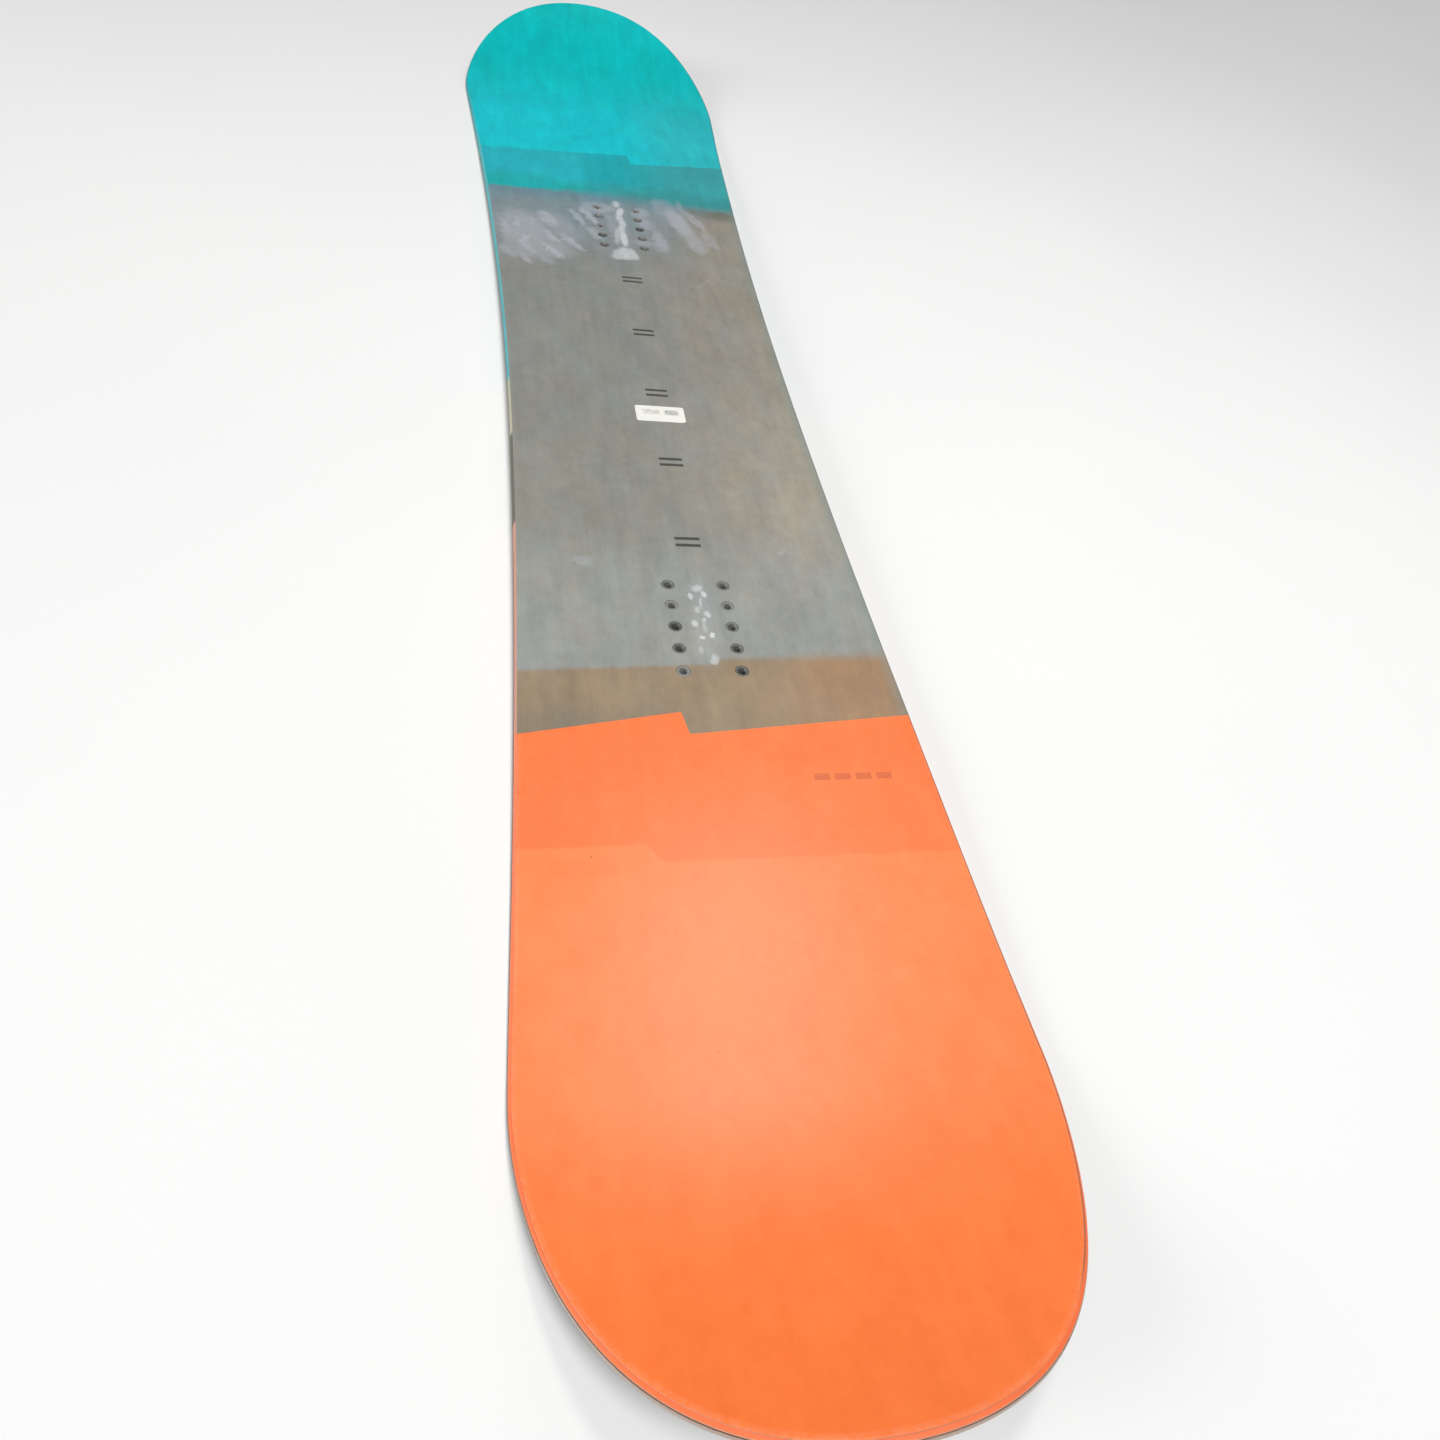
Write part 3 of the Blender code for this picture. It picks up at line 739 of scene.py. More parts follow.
# Bare white marks where the lacquer is gone, in the same measures.
whiteMarks = [
    (0.9, 319.1, 14, 7, 0, 0.46),
    (3, 301.6, 19, 6.8, -14, 0.64),
    (1.2, 288.6, 17, 6.6, 4, 0.52),
    (2.9, 277.6, 17, 6.8, 0, 0.54),
    (1, 264.6, 18, 6.4, -8, 0.52),
    (1.2, 245.8, 34, 6.8, 0, 0.62),
    (-4.9, 248.6, 34, 5.8, -8, 0.32),
    (-6.9, 211.4, 22, 12, -20, 0.48),
    (-0.9, 213.6, 24, 12, 0, 0.56),
    (6.2, 213.8, 22, 10, 14, 0.5),
    (-2.9, 205.5, 8, 24, 0, 0.44),
    (0.5, -255.1, 6.2, 7.6, 20, 0.44),
    (-5.5, -263.2, 6.2, 3.4, 0, 0.56),
    (4.2, -261, 6.2, 4.2, 10, 0.62),
    (1, -269.1, 10.6, 2.2, -6, 0.4),
    (-2, -276.2, 6.2, 3.9, 0, 0.42),
    (4.2, -280.6, 6.2, 4.2, 20, 0.6),
    (-6, -289.2, 6.6, 3.9, 0, 0.58),
    (0.8, -285.6, 4, 2.5, -30, 0.52),
    (0.5, -292.2, 10.6, 3.1, 0, 0.3),
    (4.6, -300.1, 5.3, 3.2, -10, 0.8),
    (-3, -302.2, 3.5, 4.2, 0, 0.72),
    (-5.5, -313.8, 6.2, 3.9, 0, 0.32),
    (2.6, -322.2, 9.7, 5.6, -14, 0.44),
    (0.5, -305.2, 34, 5, 0, 0.06),
    (0, -287.2, 84, 20, 0, 0.04),
]

# Plain bars in ink, as (x, along, width, height).
inkBars = {
    "centre": [(0.6, 163.4 - 92.63 * i + lift, 19.0, 3.0) for i in range(5) for lift in (-3.6, 3.6)],
    "tail": [(56.5 + 13.85 * i, -418.7, 10.5, 5.0) for i in range(4)],
    "patch": [(-97.8, -475.3, 39.0, 11.0)],
}
inkTints = {"centre": ("ink", 0.84), "tail": ("orangeInk", 0.55), "patch": ("orange", 0.30)}


# 1 on one side of a band's border and 0 on the other.
def bandMask(x, y, border, reach=None):
    left, right, step, *soft = border
    reach = reach or soft[0]
    first, second = [
        x * ((y1 - y0) / (x1 - x0)) + (y0 - (y1 - y0) / (x1 - x0) * x0) for x0, y0, x1, y1 in (left, right)
    ]
    line = (second - first) * fade(x, *step) + first
    return fade(y - line, reach * -1.0, reach)


def boxMask(x, y, box, soft=0.35):
    x0, y0, width, height = box
    sides = []
    for value, middle, size in ((x, x0, width), (y, y0, height)):
        away = calc("ABSOLUTE", value - middle)
        sides.append(fade(away, size / 2 + soft, size / 2 - soft))
    return sides[0] * sides[1]


# One soft stroke, reused for every mark.
def strokeGroup():
    tree = bpy.data.node_groups.new("stroke", "ShaderNodeTree")
    for name in ("Place", "Middle", "Across", "Along"):
        tree.interface.new_socket(name, in_out="INPUT", socket_type="NodeSocketVector")
    for name, way in (("Strength", "INPUT"), ("Mark", "OUTPUT")):
        tree.interface.new_socket(name, in_out=way, socket_type="NodeSocketFloat")
    outputs = tree.nodes.new("NodeGroupInput").outputs
    place, middle, side, length, strength = [Wire(output) for output in outputs[:5]]
    away = vector("SUBTRACT", place, middle)
    wide = vector("DOT_PRODUCT", away, side, output="Value")
    tall = vector("DOT_PRODUCT", away, length, output="Value")
    square = wide * wide + calc("POWER", calc("ABSOLUTE", tall), 3.0)
    join(fade(square, 1.9, 0.1) * strength, tree.nodes.new("NodeGroupOutput").inputs[0])
    return tree


stroke = strokeGroup()


def strokes(place, marks):
    tree = place.socket.id_data
    total = 0.0
    for x, y, length, width, turn, strength in marks:
        heading = Vector((-math.sin(math.radians(turn)), math.cos(math.radians(turn)), 0.0))
        inputs = {
            "Place": place,
            "Middle": (x, y, 0.0),
            "Across": Vector((heading.y, -heading.x, 0.0)) * 2 / width,
            "Along": heading * 2 / length,
            "Strength": strength,
        }
        node = addNode(tree, "ShaderNodeGroup", inputs, node_tree=stroke)
        total = calc("MAXIMUM", Wire(node.outputs[0]), total)
    return total


def topsheetMaterial():
    material, tree = newMaterial("printedTopsheet", Specular_IOR_Level=0.32)
    c = printColours
    x, y, _ = split(blankPlace(tree))
    place = gather(x, y, 0.0)
    drift = noise(place, 0.011, 3, 0.55)
    mottle = noise(stretch(place, (1, 0.55, 1), (40, 7, 0)), 0.045, 4, 0.6)
    grain = noise(stretch(place, (1, 0.035, 1)), 0.75, 3, 0.65)
    fibre = noise(stretch(place, (1, 0.012, 1), (0, 300, 0)), 2.6, 2, 0.6)
    streaks = noise(stretch(place, (1, 0.08, 1), (0, 90, 0)), 0.11, 4, 0.6)
    shake = noise(place, 0.11, 5, 0.68)
    # borders between bands wander a little, as the print's do
    bodyY = (mottle - 0.5) * 12 + y
    washY = (streaks - 0.5) * 4 + y

    # the teal is paler and bluer before the nose turns up: partly the print, partly a painted sheen
    pale = blend(fade(x, 20, 90), c["tealSheenPale"], c["tealSheenPaleRight"])
    teal = blend(fade(y, 690, 520), c["teal"], pale)
    dark = blend(fade(x, -40, -8), c["tealDark"], c["tealDeep"])
    dark = blend(fade(x, 0, 90), dark, c["tealDusk"])
    foot = blend(fade(x, -60, 20), c["tealFootLeft"], c["tealFoot"])
    dark = blend(fade(bodyY, 384, 338), dark, foot)
    teal = blend(bandMask(x, washY, bands["tealStep"]), dark, teal)

    nearRight = fade(x, -30, 110)
    grey = blend(nearRight, c["grey"], c["greyRight"])
    middle = blend(nearRight, c["greyMid"], c["greyMidRight"])
    grey = blend(fade(y, 30, -170), grey, middle)
    grey = blend(fade(y, -175, -265), grey, c["greyNear"])
    grey = blend(fade(y, 150, 320) * fade(x, 120, 0), grey, c["greyFar"])
    grey = blend(fade(bodyY, 300, 338) * 0.75, grey, c["haze"])
    shady = fade(bodyY, 298, 318) * fade(bodyY, 334, 323)
    grey = blend(shady * (fade(x, 60, 112) * 0.8), grey, c["olive"])

    tan = blend(fade(x, 10, 95), c["tan"], c["tanRight"])
    tan = blend(fade(bodyY, -352, -378) * fade(x, 20, -75), tan, c["tanFoot"])

    orange = blend(fade(x, -110, 30), c["orange"], c["orangeWarm"])
    pale = blend(fade(y, -560, -700), c["orangePale"], c["orangeDeep"])
    orange = blend(bandMask(x, washY, bands["paleHead"]), pale, orange)

    # two borders are softer in some places than in others
    reach = fade(x, 40, 110) * -5 + (fade(x, -90, 0) * 10 + 4)
    shade = blend(bandMask(x, bodyY, bands["tealFoot"], reach), grey, teal)
    reach = fade(x, 0, 80) * 4 + 2.6
    shade = blend(bandMask(x, washY, bands["tanHead"], reach), tan, shade)
    upper = bandMask(x, y, bands["orangeHead"])
    shade = blend(upper, orange, shade)

    # soft clouds, lengthwise grain and fine fibres in the print, weaker on the orange
    layersOfCloud = ((mottle, 0.44), (grain, 0.17), (fibre, 0.12), (streaks, 0.28), (shake, 0.30))
    cloud = (drift - 0.5) * 0.18
    for part, share in layersOfCloud:
        cloud = (part - 0.5) * share + cloud
    shade = scaled(shade, cloud * (upper * 0.66 + 0.34) + 1.0)
    warmth = noise(stretch(place, (1, 0.6, 1), (0, 70, 0)), 0.03, 4, 0.65)
    warmth = (warmth - 0.5) * upper
    warmth = stretch(gather(warmth, 0.0, warmth), (0.26, 0, -0.26), (1, 1, 1))
    shade = vector("MULTIPLY", shade, warmth)
    # the orange varies in tint rather than in brightness
    tinge = ((shake - 0.5) * 0.7 + (mottle - 0.5)) * (1.0 - upper)
    tinge = stretch(gather(0.0, tinge, tinge), (0, 0.2, 0.5), (1, 1, 1))
    shade = vector("MULTIPLY", shade, tinge)

    worn = noise(place, 0.9, 4, 0.7)
    for key, (ink, share) in inkTints.items():
        mark = 0.0
        for bar in inkBars[key]:
            mark = calc("MAXIMUM", boxMask(x, y, bar), mark)
        shade = blend(mark * fade(worn, 0.22, 0.42) * share, shade, c[ink])

    # ragged strokes: the place is shaken by noise before the marks are laid
    ragged = vector("MULTIPLY_ADD", gather(shake, shake, 0.0), (16, 10, 0), place)
    ragged = vector("ADD", ragged, (-8, -5, 0))
    streak = noise(stretch(place, (1, 0.28, 1)), 0.5, 4, 0.7)
    scuffed = strokes(ragged, scuffs) * fade(streak, 0.1, 0.56)
    shade = blend(scuffed, shade, c["scuff"])
    crumble = noise(place, 0.42, 3, 0.7)
    chips = vector("MULTIPLY_ADD", gather(shake, crumble, 0.0), (3.6, 4.4, 0), place)
    chips = vector("ADD", chips, (-1.8, -2.2, 0))
    bare = strokes(chips, whiteMarks) * fade(streak, 0.15, 0.5)
    shade = blend(bare, shade, c["white"])

    # dust specks
    cells = follow("TexVoronoi", [place])
    cells.inputs["Scale"].default_value = 0.055
    rare = fade(split(Wire(cells.outputs["Color"]))[0], 0.9, 0.94)
    speck = fade(Wire(cells.outputs["Distance"]), 0.045, 0.015) * rare
    shade = blend(speck * 0.55, shade, c["ink"])
    # marks near the rim, by the distance in from the edge in metres: a paler patchy line on the orange,
    # painted shade along the right edge, and a cooler grey a little further in on the right
    rim = attribute(tree, "rim")
    chipped = fade(noise(place, 0.35, 4, 0.7), 0.38, 0.56)
    light = fade(rim, 0.0050, 0.0036) * chipped * (1.0 - upper)
    shade = blend(light * 0.16, shade, c["rimLight"])
    # painted shade: the outermost millimetre of the topsheet is darkened on the right side only
    dark = fade(rim, 0.0033, 0.0025) * fade(x, 96, 112)
    shade = blend(dark * 0.6, shade, c["rimPaintedShade"])
    cool = fade(rim, 0.0120, 0.0040) * fade(x, 60, 90) * fade(y, 350, 320)
    shade = blend(cool * (upper * 0.4), shade, c["rimCool"])

    hurt = calc("MAXIMUM", scuffed, bare)
    gloss = hurt * 0.3 + (mottle * 0.12 + 0.27)
    normal = bump(noise(place, 0.55, 3, 0.5), 0.00004)
    normal = bump(grain, 0.00003, normal)
    normal = bump(noise(place, 1.8, 3, 0.7), 0.00012, normal, hurt)
    return coat(material, shade, gloss, normal)


# Sidewall plastic changes colour along the board, at these places.
wallColours = {
    "cuts": (-378.0, -189.0, -85.0, -11.0),
    "soft": 2.5,
    "paints": [(252, 126, 78), (214, 146, 124), (84, 78, 64), (184, 182, 156), (44, 176, 188)],
}
# The edge's steel picks up the colour of the sidewall over it as a painted reflection, and is dull and brown
# at the tail as painted shade.
steelPaintedReflectionAndShade = ((150, 98, 74), *wallColours["paints"][1:])


def alongShade(y, paints):
    shade, *others = paints
    for cut, following in zip(wallColours["cuts"], others):
        shade = blend(fade(y, cut - wallColours["soft"], cut + wallColours["soft"]), shade, following)
    return shade


def wallMaterial(name, paints):
    material, tree = newMaterial(name, Specular_IOR_Level=0.4)
    place = blankPlace(tree)
    shade = alongShade(split(place)[1], paints)
    scrape = noise(stretch(place, (1, 0.05, 3)), 1.2, 4, 0.7)
    dirt = noise(place, 0.05, 4, 0.6)
    shade = blend(fade(scrape, 0.52, 0.75) * 0.16, shade, (140, 132, 124))
    shade = blend(fade(dirt, 0.5, 0.75) * 0.14, shade, (96, 90, 84))
    return coat(material, shade, scrape * 0.35 + 0.3, bump(scrape, 0.0001))


def steelMaterial(name, tone, dull, rust):
    material, tree = newMaterial(name, Metallic=0.6)
    place = blankPlace(tree)
    brushed = noise(stretch(place, (1, 0.02, 1)), 6, 3, 0.6)
    patch = noise(place, 0.08, 5, 0.6)
    shade = blend(brushed, (*(dull * part for part in paint(*tone)[:3]), 1.0), tone)
    # half the steel's colour is the painted reflection of the sidewall, with painted shade at the tail
    shade = blend(0.5, shade, alongShade(split(place)[1], steelPaintedReflectionAndShade))
    shade = blend(fade(patch, 0.56, 0.74) * rust, shade, (120, 74, 48))
    gloss = patch * 0.14 + (brushed * 0.22 + 0.22)
    return coat(material, shade, gloss, bump(brushed, 0.00002))


# Inserts that are full of dust and wax, as (x, along) on the blank, and the size of a patch of it.
dusty = {
    "places": [(-20, -332), (-20, -272), (20, -272), (-20, 268), (-20, 308), (20, 308)],
    "size": 11.0,
}


def insertMaterial():
    material, tree = newMaterial("insertSteel", Metallic=0.45)
    place = blankPlace(tree)
    x, y, _ = split(place)
    grime = noise(place, 0.9, 4, 0.6)
    shade = blend(attribute(tree, "tone"), (100, 101, 98), (150, 150, 147))
    shade = blend(fade(grime, 0.5, 0.78), shade, (66, 63, 58))
    dust = 0.0
    for middle in dusty["places"]:
        dust = calc("MAXIMUM", boxMask(x, y, (*middle, dusty["size"], dusty["size"])), dust)
    dust = dust * fade(grime, 0.8, 0.5)
    shade = blend(dust, shade, printColours["dust"])
    gloss = calc("MAXIMUM", grime * 0.4 + 0.25, dust)
    return coat(material, shade, gloss, bump(grime, 0.00004))


def baseMaterial():
    material, tree = newMaterial("sinteredBase", Specular_IOR_Level=0.45)
    x, y, _ = split(blankPlace(tree))
    place = gather(x, y, 0.0)
    grind = noise(stretch(place, (1, 0.006, 1)), 3.2, 2, 0.5)
    speckle = noise(place, 1.6, 4, 0.8)
    drag = noise(stretch(place, (1, 0.05, 1), (9, 0, 0)), 0.16, 5, 0.65)
    shade = blend(speckle, (20, 20, 23), (44, 44, 48))
    scratch = fade(drag, 0.6, 0.72)
    shade = blend(scratch * 0.35, shade, (98, 98, 100))
    gloss = grind * 0.2 + (scratch * 0.25 + 0.3)
    return coat(material, shade, gloss, bump(speckle, 0.00002, bump(grind, 0.00008)))


# Glass cloth in clear resin: two families of rovings at 45 degrees.
def glassMaterial():
    material, tree = newMaterial("glassLaminate", Specular_IOR_Level=0.5)
    place = blankPlace(tree)
    x, y, _ = split(place)
    first, second = [calc("SINE", (y * sign + x) * 2.4) for sign in (1.0, -1.0)]
    weave = first * second * 0.5 + 0.5
    cloudy = noise(place, 0.3, 3, 0.6)
    tint = blend(fade(y, -384, -374), (236, 132, 88), (150, 146, 128))
    tint = blend(fade(y, 328, 340), tint, (60, 168, 170))
    shade = blend(weave, (196, 200, 172), (222, 224, 200))
    shade = blend(cloudy * 0.4, shade, (178, 176, 140))
    shade = blend(0.7, shade, tint)
    return coat(material, shade, weave * 0.15 + 0.28, bump(weave, 0.00005))


def rubberMaterial():
    material, tree = newMaterial("dampingRubber", Specular_IOR_Level=0.3)
    crumb = noise(blankPlace(tree), 2.4, 3, 0.7)
    shade = blend(crumb, (24, 24, 24), (46, 45, 44))
    return coat(material, shade, crumb * 0.2 + 0.65, bump(crumb, 0.00003))


# Wood of one strip: growth lines and pores along the board. The shift sets strips apart.
def woodMaterial(name, pale, dark, shift):
    material, tree = newMaterial(name, Specular_IOR_Level=0.3)
    place = stretch(objectPlace(tree), (1, 1, 1), shift)
    wander = noise(stretch(place, (1, 0.02, 1)), 0.08, 2, 0.5)
    x, _, z = split(place)
    line = wander * 26 + (z * 0.6 + x)
    rings = calc("SINE", line * 1.5) * 0.5 + 0.5
    pores = noise(stretch(place, (1, 0.03, 1)), 3, 4, 0.7)
    shade = blend(rings * 0.7, pale, dark)
    shade = blend(fade(pores, 0.55, 0.75) * 0.5, shade, dark)
    return coat(material, shade, pores * 0.2 + 0.5, bump(pores, 0.00006))


# Grey smears on the label: x, width and strength of each, and where, how high and how soft.
smears = {"bars": ((-7.5, 14.0, 0.42), (9.5, 11.0, 0.74)), "along": -49.6, "height": 6.2, "soft": 1.6}


def paperMaterial():
    material, tree = newMaterial("labelPaper", Specular_IOR_Level=0.3)
    place = blankPlace(tree)
    x, y, _ = split(place)
    fibres = noise(place, 1.1, 4, 0.7)
    shade = blend(fibres, (226, 225, 216), (250, 249, 243))
    for x0, width, share in smears["bars"]:
        mark = boxMask(x, y, (x0, smears["along"], width, smears["height"]), smears["soft"])
        smear = mark * fade(noise(place, 0.7, 2, 0.5), 0.3, 0.6)
        shade = blend(smear * share, shade, (110, 112, 100))
    return coat(material, shade, fibres * 0.2 + 0.5, bump(fibres, 0.00004))


def floorMaterial():
    material, tree = newMaterial("paleFloor", Specular_IOR_Level=0.2, Roughness=0.7)
    cloudy = noise(objectPlace(tree), 0.002, 2, 0.5)
    return coat(material, blend(cloudy, (238, 238, 238), (246, 246, 245)))


setCamera(camera)
setStudio(studio)


# Round floor, and a wall that it sweeps up into. The wall sends no light back to the board.
def makeStage(c):
    profile = [(c["floorRadius"], 0.0)]
    for i in range(1, c["coveSteps"] + 1):
        turn = math.pi / 2 * i / c["coveSteps"]
        out = c["floorRadius"] + c["coveRadius"] * math.sin(turn)
        profile.append((out, c["coveRadius"] * (1 - math.cos(turn))))
    profile.append((profile[-1][0], c["wallHeight"]))
    finish = floorMaterial()
    for name, rows in (("floor", profile[:1]), ("wall", profile)):
        mesh = bmesh.new()
        rings = []
        for radius, height in rows:
            angles = [math.tau * i / c["sides"] for i in range(c["sides"])]
            places = [(radius * math.cos(a), radius * math.sin(a), height - c["floorDrop"]) for a in angles]
            rings.append([mesh.verts.new(place) for place in places])
        if len(rings) == 1:
            mesh.faces.new(rings[0])
        bridge(mesh, rings)
        made = flatObject(name, mesh)
        made.data.shade_smooth()
        made.data.materials.append(finish)
    made.visible_diffuse = made.visible_glossy = made.visible_shadow = False


makeStage(studio)

# Running base, let in between the steel edges.
running = {"soft": 0.00005}


def makeBase(c):
    inset = layers["edgeWidth"] + glue
    corners = [
        (layers["inside"], 0.0, 0.0),
        (inset, 0.0, c["soft"]),
        (inset, layers["base"], c["soft"]),
        (layers["inside"], layers["base"], 0.0),
    ]
    section = rounded(corners, closed=False)[1:-1]
    source = fullLayer("baseBlank", allStations, lambda place: section)
    return grow("runningBase", source, layerNodes, Finish=baseMaterial())


settle(makeBase(running), "base_sheet", "base_sheet")

# Steel edges and the rubber on their flanges, swept along the outline.
# Corners are (inset, height, radius).
rails = {
    "gap": 0.0004,
    "edge": [
        (0.0, 0.0, 0.00012),
        (layers["edgeWidth"], 0.0, 0.00006),
        (layers["edgeWidth"], layers["base"] + glue, 0.0),
        (layers["flangeEnd"], layers["base"] + glue, 0.0),
        (layers["flangeEnd"], edgeTop, 0.0),
        (0.0, edgeTop, 0.00010),
    ],
    "rubber": [
        (layers["setback"], edgeTop + glue, 0.0),
        (layers["rubberEnd"], edgeTop + glue, 0.0),
        (layers["rubberEnd"], rubberTop, 0.0),
        (layers["setback"], rubberTop, 0.0),
    ],
}


def polyline(name, points, closed):
    data = bpy.data.curves.new(name, "CURVE")
    data.dimensions = "3D"
    spline = data.splines.new("POLY")
    spline.points.add(len(points) - 1)
    for point, place in zip(spline.points, points):
        point.co = (*place, 1.0)
    spline.use_cyclic_u = closed
    return placed(name, data)


def makeRail(name, side, corners, finish):
    path = [Vector((point.x, point.y, 0.0)) for point, _ in allStations]
    path[0].x = path[-1].x = rails["gap"] / 2
    if side < 0:
        path = [mirrored(point) for point in path[::-1]]
    section = [(-inset, -height, 0.0) for inset, height in rounded(corners)]
    profile = polyline("section", section, True)
    source = polyline(name + "Path", path, False)
    return grow(name, source, railNodes, helpers=[profile], Section=profile, Finish=finish)


edgeSteel = steelMaterial("edgeSteel", (236, 230, 220), dull=0.72, rust=0.3)
dampingRubber = rubberMaterial()
for side, word in ((-1, "Left"), (1, "Right")):
    edge = makeRail("steelEdge" + word, side, rails["edge"], edgeSteel)
    settle(edge, "edge_steel", "steel_edge_" + word.lower())
    rubber = makeRail("edgeRubber" + word, side, rails["rubber"], dampingRubber)
    settle(rubber, "edge_rubber", "edge_rubber_" + word.lower())


def makeLowerGlass(finish):
    outer = rubberTop + glue
    inner = layers["base"] + glue
    step = layers["glassStep"]
    corners = [
        (step, inner),
        (step, outer),
        (layers["setback"], outer),
        (layers["setback"], glassOuterTop),
        (step + layers["glass"], glassOuterTop),
        (step + layers["glass"], glassInnerTop),
    ]
    section = [Vector(corner) for corner in corners]
    source = fullLayer("lowerGlassBlank", allStations, lambda place: section)
    return grow("lowerGlass", source, layerNodes, Finish=finish)


laminate = glassMaterial()
settle(makeLowerGlass(laminate), "glass_laminate", "lower_glass_laminate")

# Sidewalls, whose outer faces lean in, and the tip spacers that carry on from them.
walls = {"soft": 0.0003, "tail": (250, 118, 66), "nose": (20, 172, 176)}


def makeWall(word, side, finish):
    def section(place):
        return rounded([
            (layers["setback"], sidewallSeat, walls["soft"]),
            (layers["sidewallIn"], sidewallSeat, 0.0),
            (layers["sidewallIn"], coreTop(place), 0.0),
            (layers["topIn"], coreTop(place), walls["soft"]),
        ])

    source = sideLayer("wallBlank", sideStations, side, section)
    return grow("sidewall" + word, source, layerNodes, Finish=finish)


wallPlastic = wallMaterial("sidewallPlastic", wallColours["paints"])
settle(makeWall("Left", -1, wallPlastic), "sidewall", "sidewall_left")
settle(makeWall("Right", 1, wallPlastic), "sidewall", "sidewall_right")


def makeSpacer(name, stations, towards, colour):
    def section(place):
        spots = [
            (layers["sidewallIn"], coreSeat, 0.0),
            (layers["sidewallIn"], sidewallSeat, 0.0),
            (layers["setback"], sidewallSeat, walls["soft"]),
            (layers["topIn"], coreTop(place), walls["soft"]),
            (layers["inside"], coreTop(place), 0.0),
        ]
        return rounded(spots, closed=False)[:-1]

    finish = wallMaterial(name + "Plastic", (colour,))
    rings = [fullRing(station, section(station[0].y), 1) for station in stations]
    for point, _ in rings[0]:
        point.y += towards * glue
    source = loft(name + "Blank", rings, firstCap=True)
    return grow(name, source, layerNodes, Finish=finish)


settle(makeSpacer("tailSpacer", tailStations[::-1], -1, walls["tail"]), "tip_spacer", "tail_spacer")
settle(makeSpacer("noseSpacer", noseStations, 1, walls["nose"]), "tip_spacer", "nose_spacer")

# Threaded inserts. Radii and heights in metres; the thread is M6 with a pitch of 1 mm.
insertSizes = {
    "sides": 36,
    "flange": 0.0075,
    "flangeHeight": 0.0012,
    "barrel": 0.0045,
    "bore": 0.0030,
    "threadDepth": 0.00045,
    "threadPitch": 0.0010,
    "rowsPerTurn": 5,
    "threadRunIn": 3,
    "footShare": 0.9,
    "floor": 0.0008,
    "sink": 0.0003,
    "clearance": 0.0002,
    "soft": 0.00025,
    "drillSides": 48,
    "drillPast": 0.002,
}


# Turned solid from (radius, height, thread share) rows. The rows start and end on the axis.
def turned(name, rows, sides, c=insertSizes):
    mesh = bmesh.new()
    rings = []
    for radius, height, share in rows:
        if radius == 0:
            rings.append([mesh.verts.new((0.0, 0.0, height))] * sides)
            continue
        ring = []
        for i in range(sides):
            angle = math.tau * i / sides
            phase = (height / c["threadPitch"] + i / sides) % 1.0
            out = radius - share * c["threadDepth"] * (1 - abs(2 * phase - 1))
            ring.append(mesh.verts.new((out * math.cos(angle), out * math.sin(angle), height)))
        rings.append(ring)
    bridge(mesh, rings)
    return flatObject(name, mesh)


def makeInserts(c=insertSizes):
    rim = sheetTop(nosePack) - c["sink"]
    foot = coreSeat + c["floor"]
    flangeTop = coreSeat + c["flangeHeight"]
    rows = [
        (0.0, coreSeat, 0.0),
        (c["flange"], coreSeat, 0.0),
        (c["flange"], flangeTop, 0.0),
        (c["barrel"], flangeTop, 0.0),
        (c["barrel"], rim - c["soft"], 0.0),
        (c["barrel"] - c["soft"], rim, 0.0),
        (c["bore"] + c["soft"], rim, 0.0),
    ]
    start = rim - c["soft"]
    end = foot + c["soft"]
    steps = round((start - end) / c["threadPitch"] * c["rowsPerTurn"])
    for i in range(steps + 1):
        share = min(1.0, i / c["threadRunIn"], (steps - i) / c["threadRunIn"])
        rows.append((c["bore"], start + (end - start) * i / steps, share))
    rows += [(c["bore"] * c["footShare"], foot, 0.0), (0.0, foot, 0.0)]
    source = turned("insertBlank", rows, c["sides"])
    return grow("bindingInserts", source, insertNodes, Finish=insertMaterial())


insertNames = [
    f"{pack}_insert_{hand}_{row + 1}"
    for pack in ("tail", "nose")
    for hand in ("left", "right")
    for row in range(stance["rows"])
]
settle(makeInserts(), "insert_steel", *insertNames)


# Drill for the layers over the core, which breaks the topsheet's corner at each hole.
def makeDrill(top, c=insertSizes):
    radius = c["barrel"] + c["clearance"]
    wide = radius + 2 * c["clearance"]
    end = top + c["drillPast"]
    rows = [
        (0.0, coreSeat, 0.0),
        (radius, coreSeat, 0.0),
        (radius, top - c["clearance"], 0.0),
        (wide, top + c["clearance"], 0.0),
        (wide, end, 0.0),
        (0.0, end, 0.0),
    ]
    return turned("drill", rows, c["drillSides"])


sheet = {"corner": 0.00049, "spans": 14, "flatFrom": 0.006}


# A layer over the core, between two heights, drilled for the inserts.
def makeUpper(name, below, face, corner, spans, finish):
    def seat(place):
        return below(place) + glue

    def section(place):
        spots = [
            (layers["inside"], seat(place), 0.0),
            (layers["topIn"], seat(place), 0.0),
            (layers["topIn"], face(place), corner),
            (sheet["flatFrom"], face(place), 0.0),
        ]
        return rounded(spots, closed=False)[1:]

    source = fullLayer(name + "Blank", allStations, section, topSpans=spans)
    drill = makeDrill(face(nosePack))
    return grow(name, source, drilledNodes, helpers=[drill], Cutter=drill, Finish=finish)


upperGlass = makeUpper("upperGlass", coreTop, glassTop, 0.0, 1, laminate)
settle(upperGlass, "glass_laminate", "upper_glass_laminate")
printed = topsheetMaterial()
topsheet = makeUpper("printedTopsheet", glassTop, sheetTop, sheet["corner"], sheet["spans"], printed)
settle(topsheet, "topsheet", "topsheet")

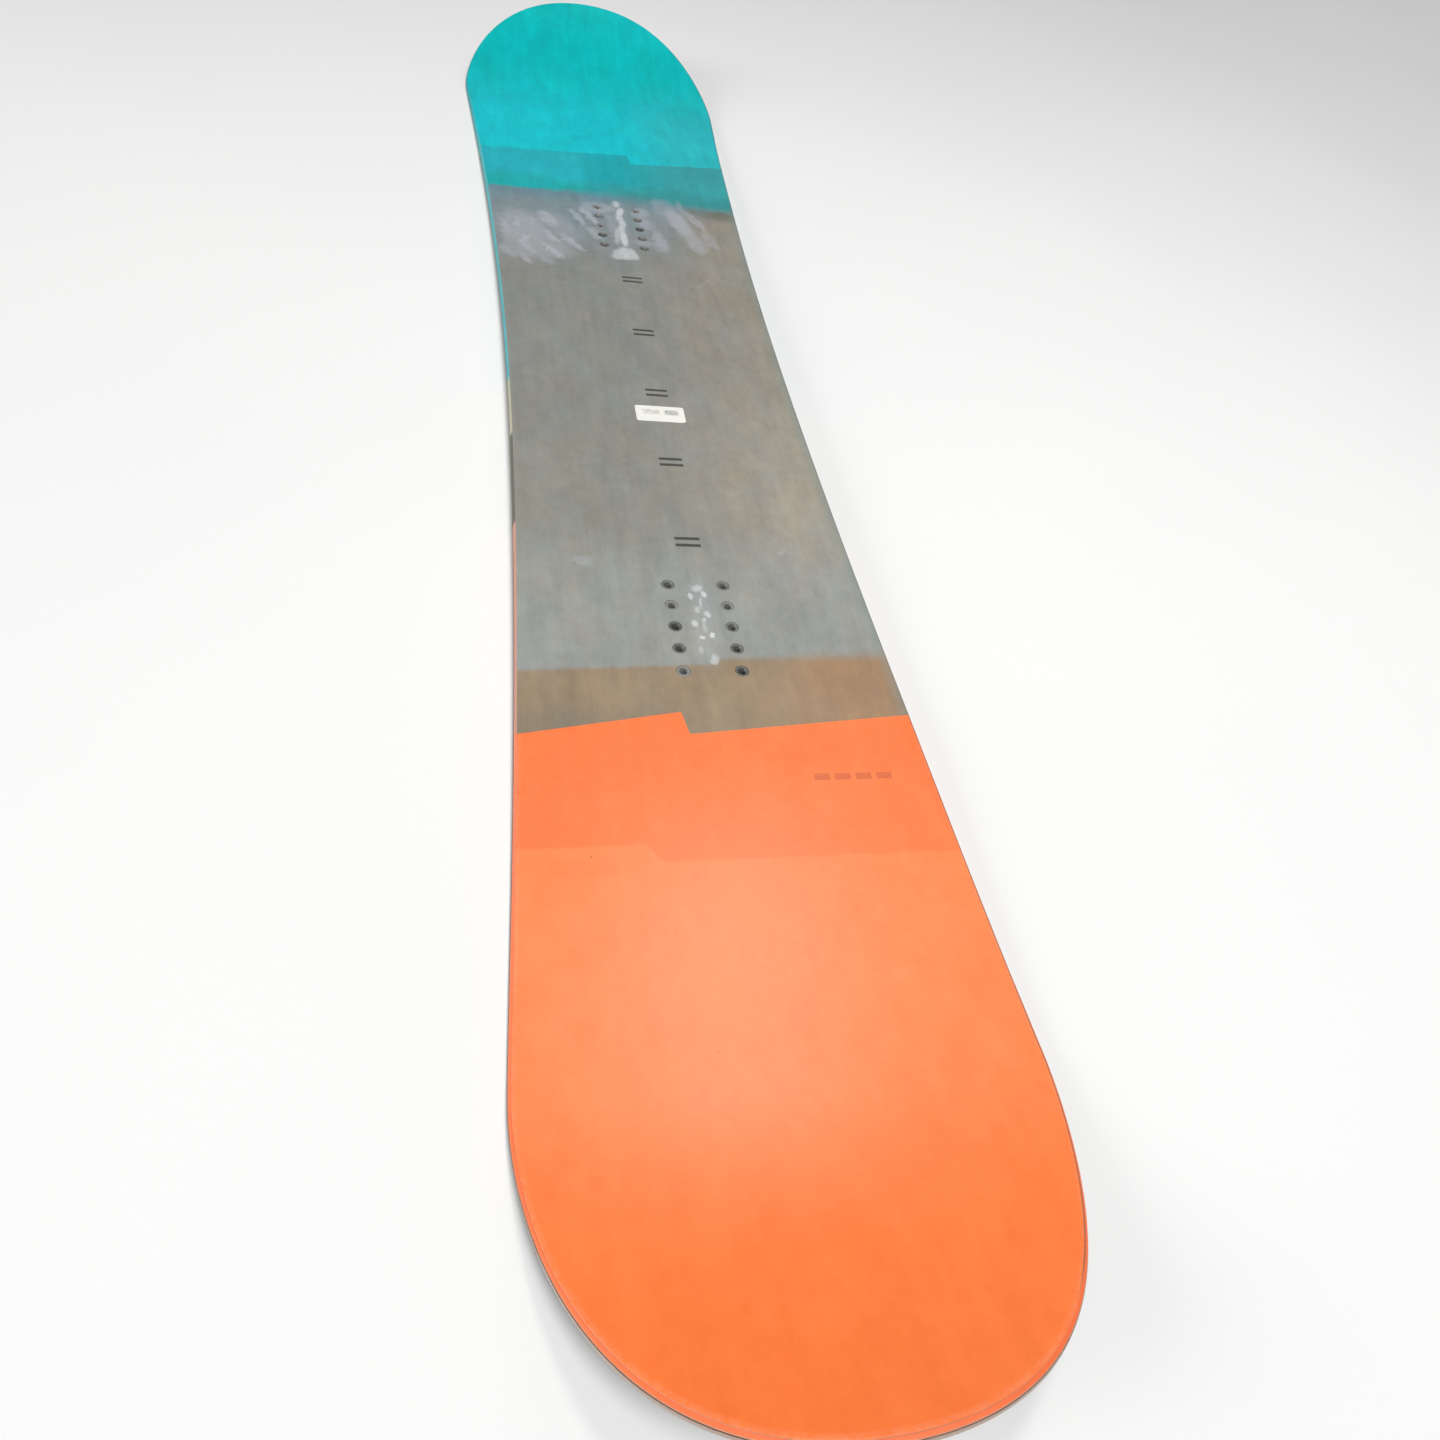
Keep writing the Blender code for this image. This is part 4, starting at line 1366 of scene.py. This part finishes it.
# Paper label, a little wavy, with one corner coming off. In metres.
label = {
    "width": 0.041,
    "length": 0.021,
    "setback": 0.052,
    "thick": 0.00015,
    "corner": 0.002,
    "cell": 0.0005,
    "wave": 0.00004,
    "ripple": (420, 160, 510, 1.0),  # radians per metre, and a shift
    "lift": 0.0005,
    "liftReach": 0.007,
}


def makeLabel(c):
    columns = round(c["width"] / c["cell"])
    rows = round(c["length"] / c["cell"])
    reach = Vector((c["width"] / 2 - c["corner"], c["length"] / 2 - c["corner"]))
    mesh = bmesh.new()
    skins = []
    for skin in (0, 1):
        grid = []
        for j in range(rows + 1):
            line = []
            for i in range(columns + 1):
                x = (i / columns - 0.5) * c["width"]
                y = (j / rows - 0.5) * c["length"]
                past = Vector((max(0.0, abs(x) - reach.x), max(0.0, abs(y) - reach.y)))
                if past.x > 0 and past.y > 0:
                    square = max(past.x, past.y)
                    past *= square / past.length
                    x = math.copysign(reach.x + past.x, x)
                    y = math.copysign(reach.y + past.y, y)
                away = math.hypot(c["width"] / 2 - x, c["length"] / 2 + y) / c["liftReach"]
                rise = c["lift"] * max(0.0, 1 - away) ** 2
                first, second, third, shift = c["ripple"]
                ripple = math.sin(x * first + y * second) * math.sin(y * third + shift)
                rise += c["wave"] * (1 + ripple)
                base = sheetTop(y - c["setback"]) + glue
                height = base + rise + skin * c["thick"]
                line.append(mesh.verts.new((x, y - c["setback"], height)))
            grid.append(line)
        skins.append(grid)
    low, high = skins
    for j in range(rows):
        for i in range(columns):
            for grid in skins:
                mesh.faces.new((grid[j][i], grid[j][i + 1], grid[j + 1][i + 1], grid[j + 1][i]))
    for i in range(columns):
        for j in (0, rows):
            mesh.faces.new((low[j][i], low[j][i + 1], high[j][i + 1], high[j][i]))
    for j in range(rows):
        for i in (0, columns):
            mesh.faces.new((low[j][i], low[j + 1][i], high[j + 1][i], high[j][i]))
    source = flatObject("labelBlank", mesh)
    return grow("paperLabel", source, layerNodes, Finish=paperMaterial())


settle(makeLabel(label), "label", "paper_label")

# Wood strips of the core stay as they are in the frame and get their grain here.
woods = {
    "core_poplar": ((222, 200, 160), (190, 160, 116)),
    "core_beech": ((206, 166, 126), (160, 112, 76)),
}

# How far the grain moves from one strip to the next, in millimetres.
stripShift = Vector((17.0, 230.0, 5.0))

slots = {row["node"]: row["material_slot"] for row in frame["record"]["subparts"]}
for i, name in enumerate(sorted(frame["nodes"])):
    if name.startswith("core_"):
        data = frame["nodes"][name].data
        data.materials.clear()
        data.materials.append(woodMaterial(name + "Wood", *woods[slots[name]], stripShift * i))
print("core strips dressed")
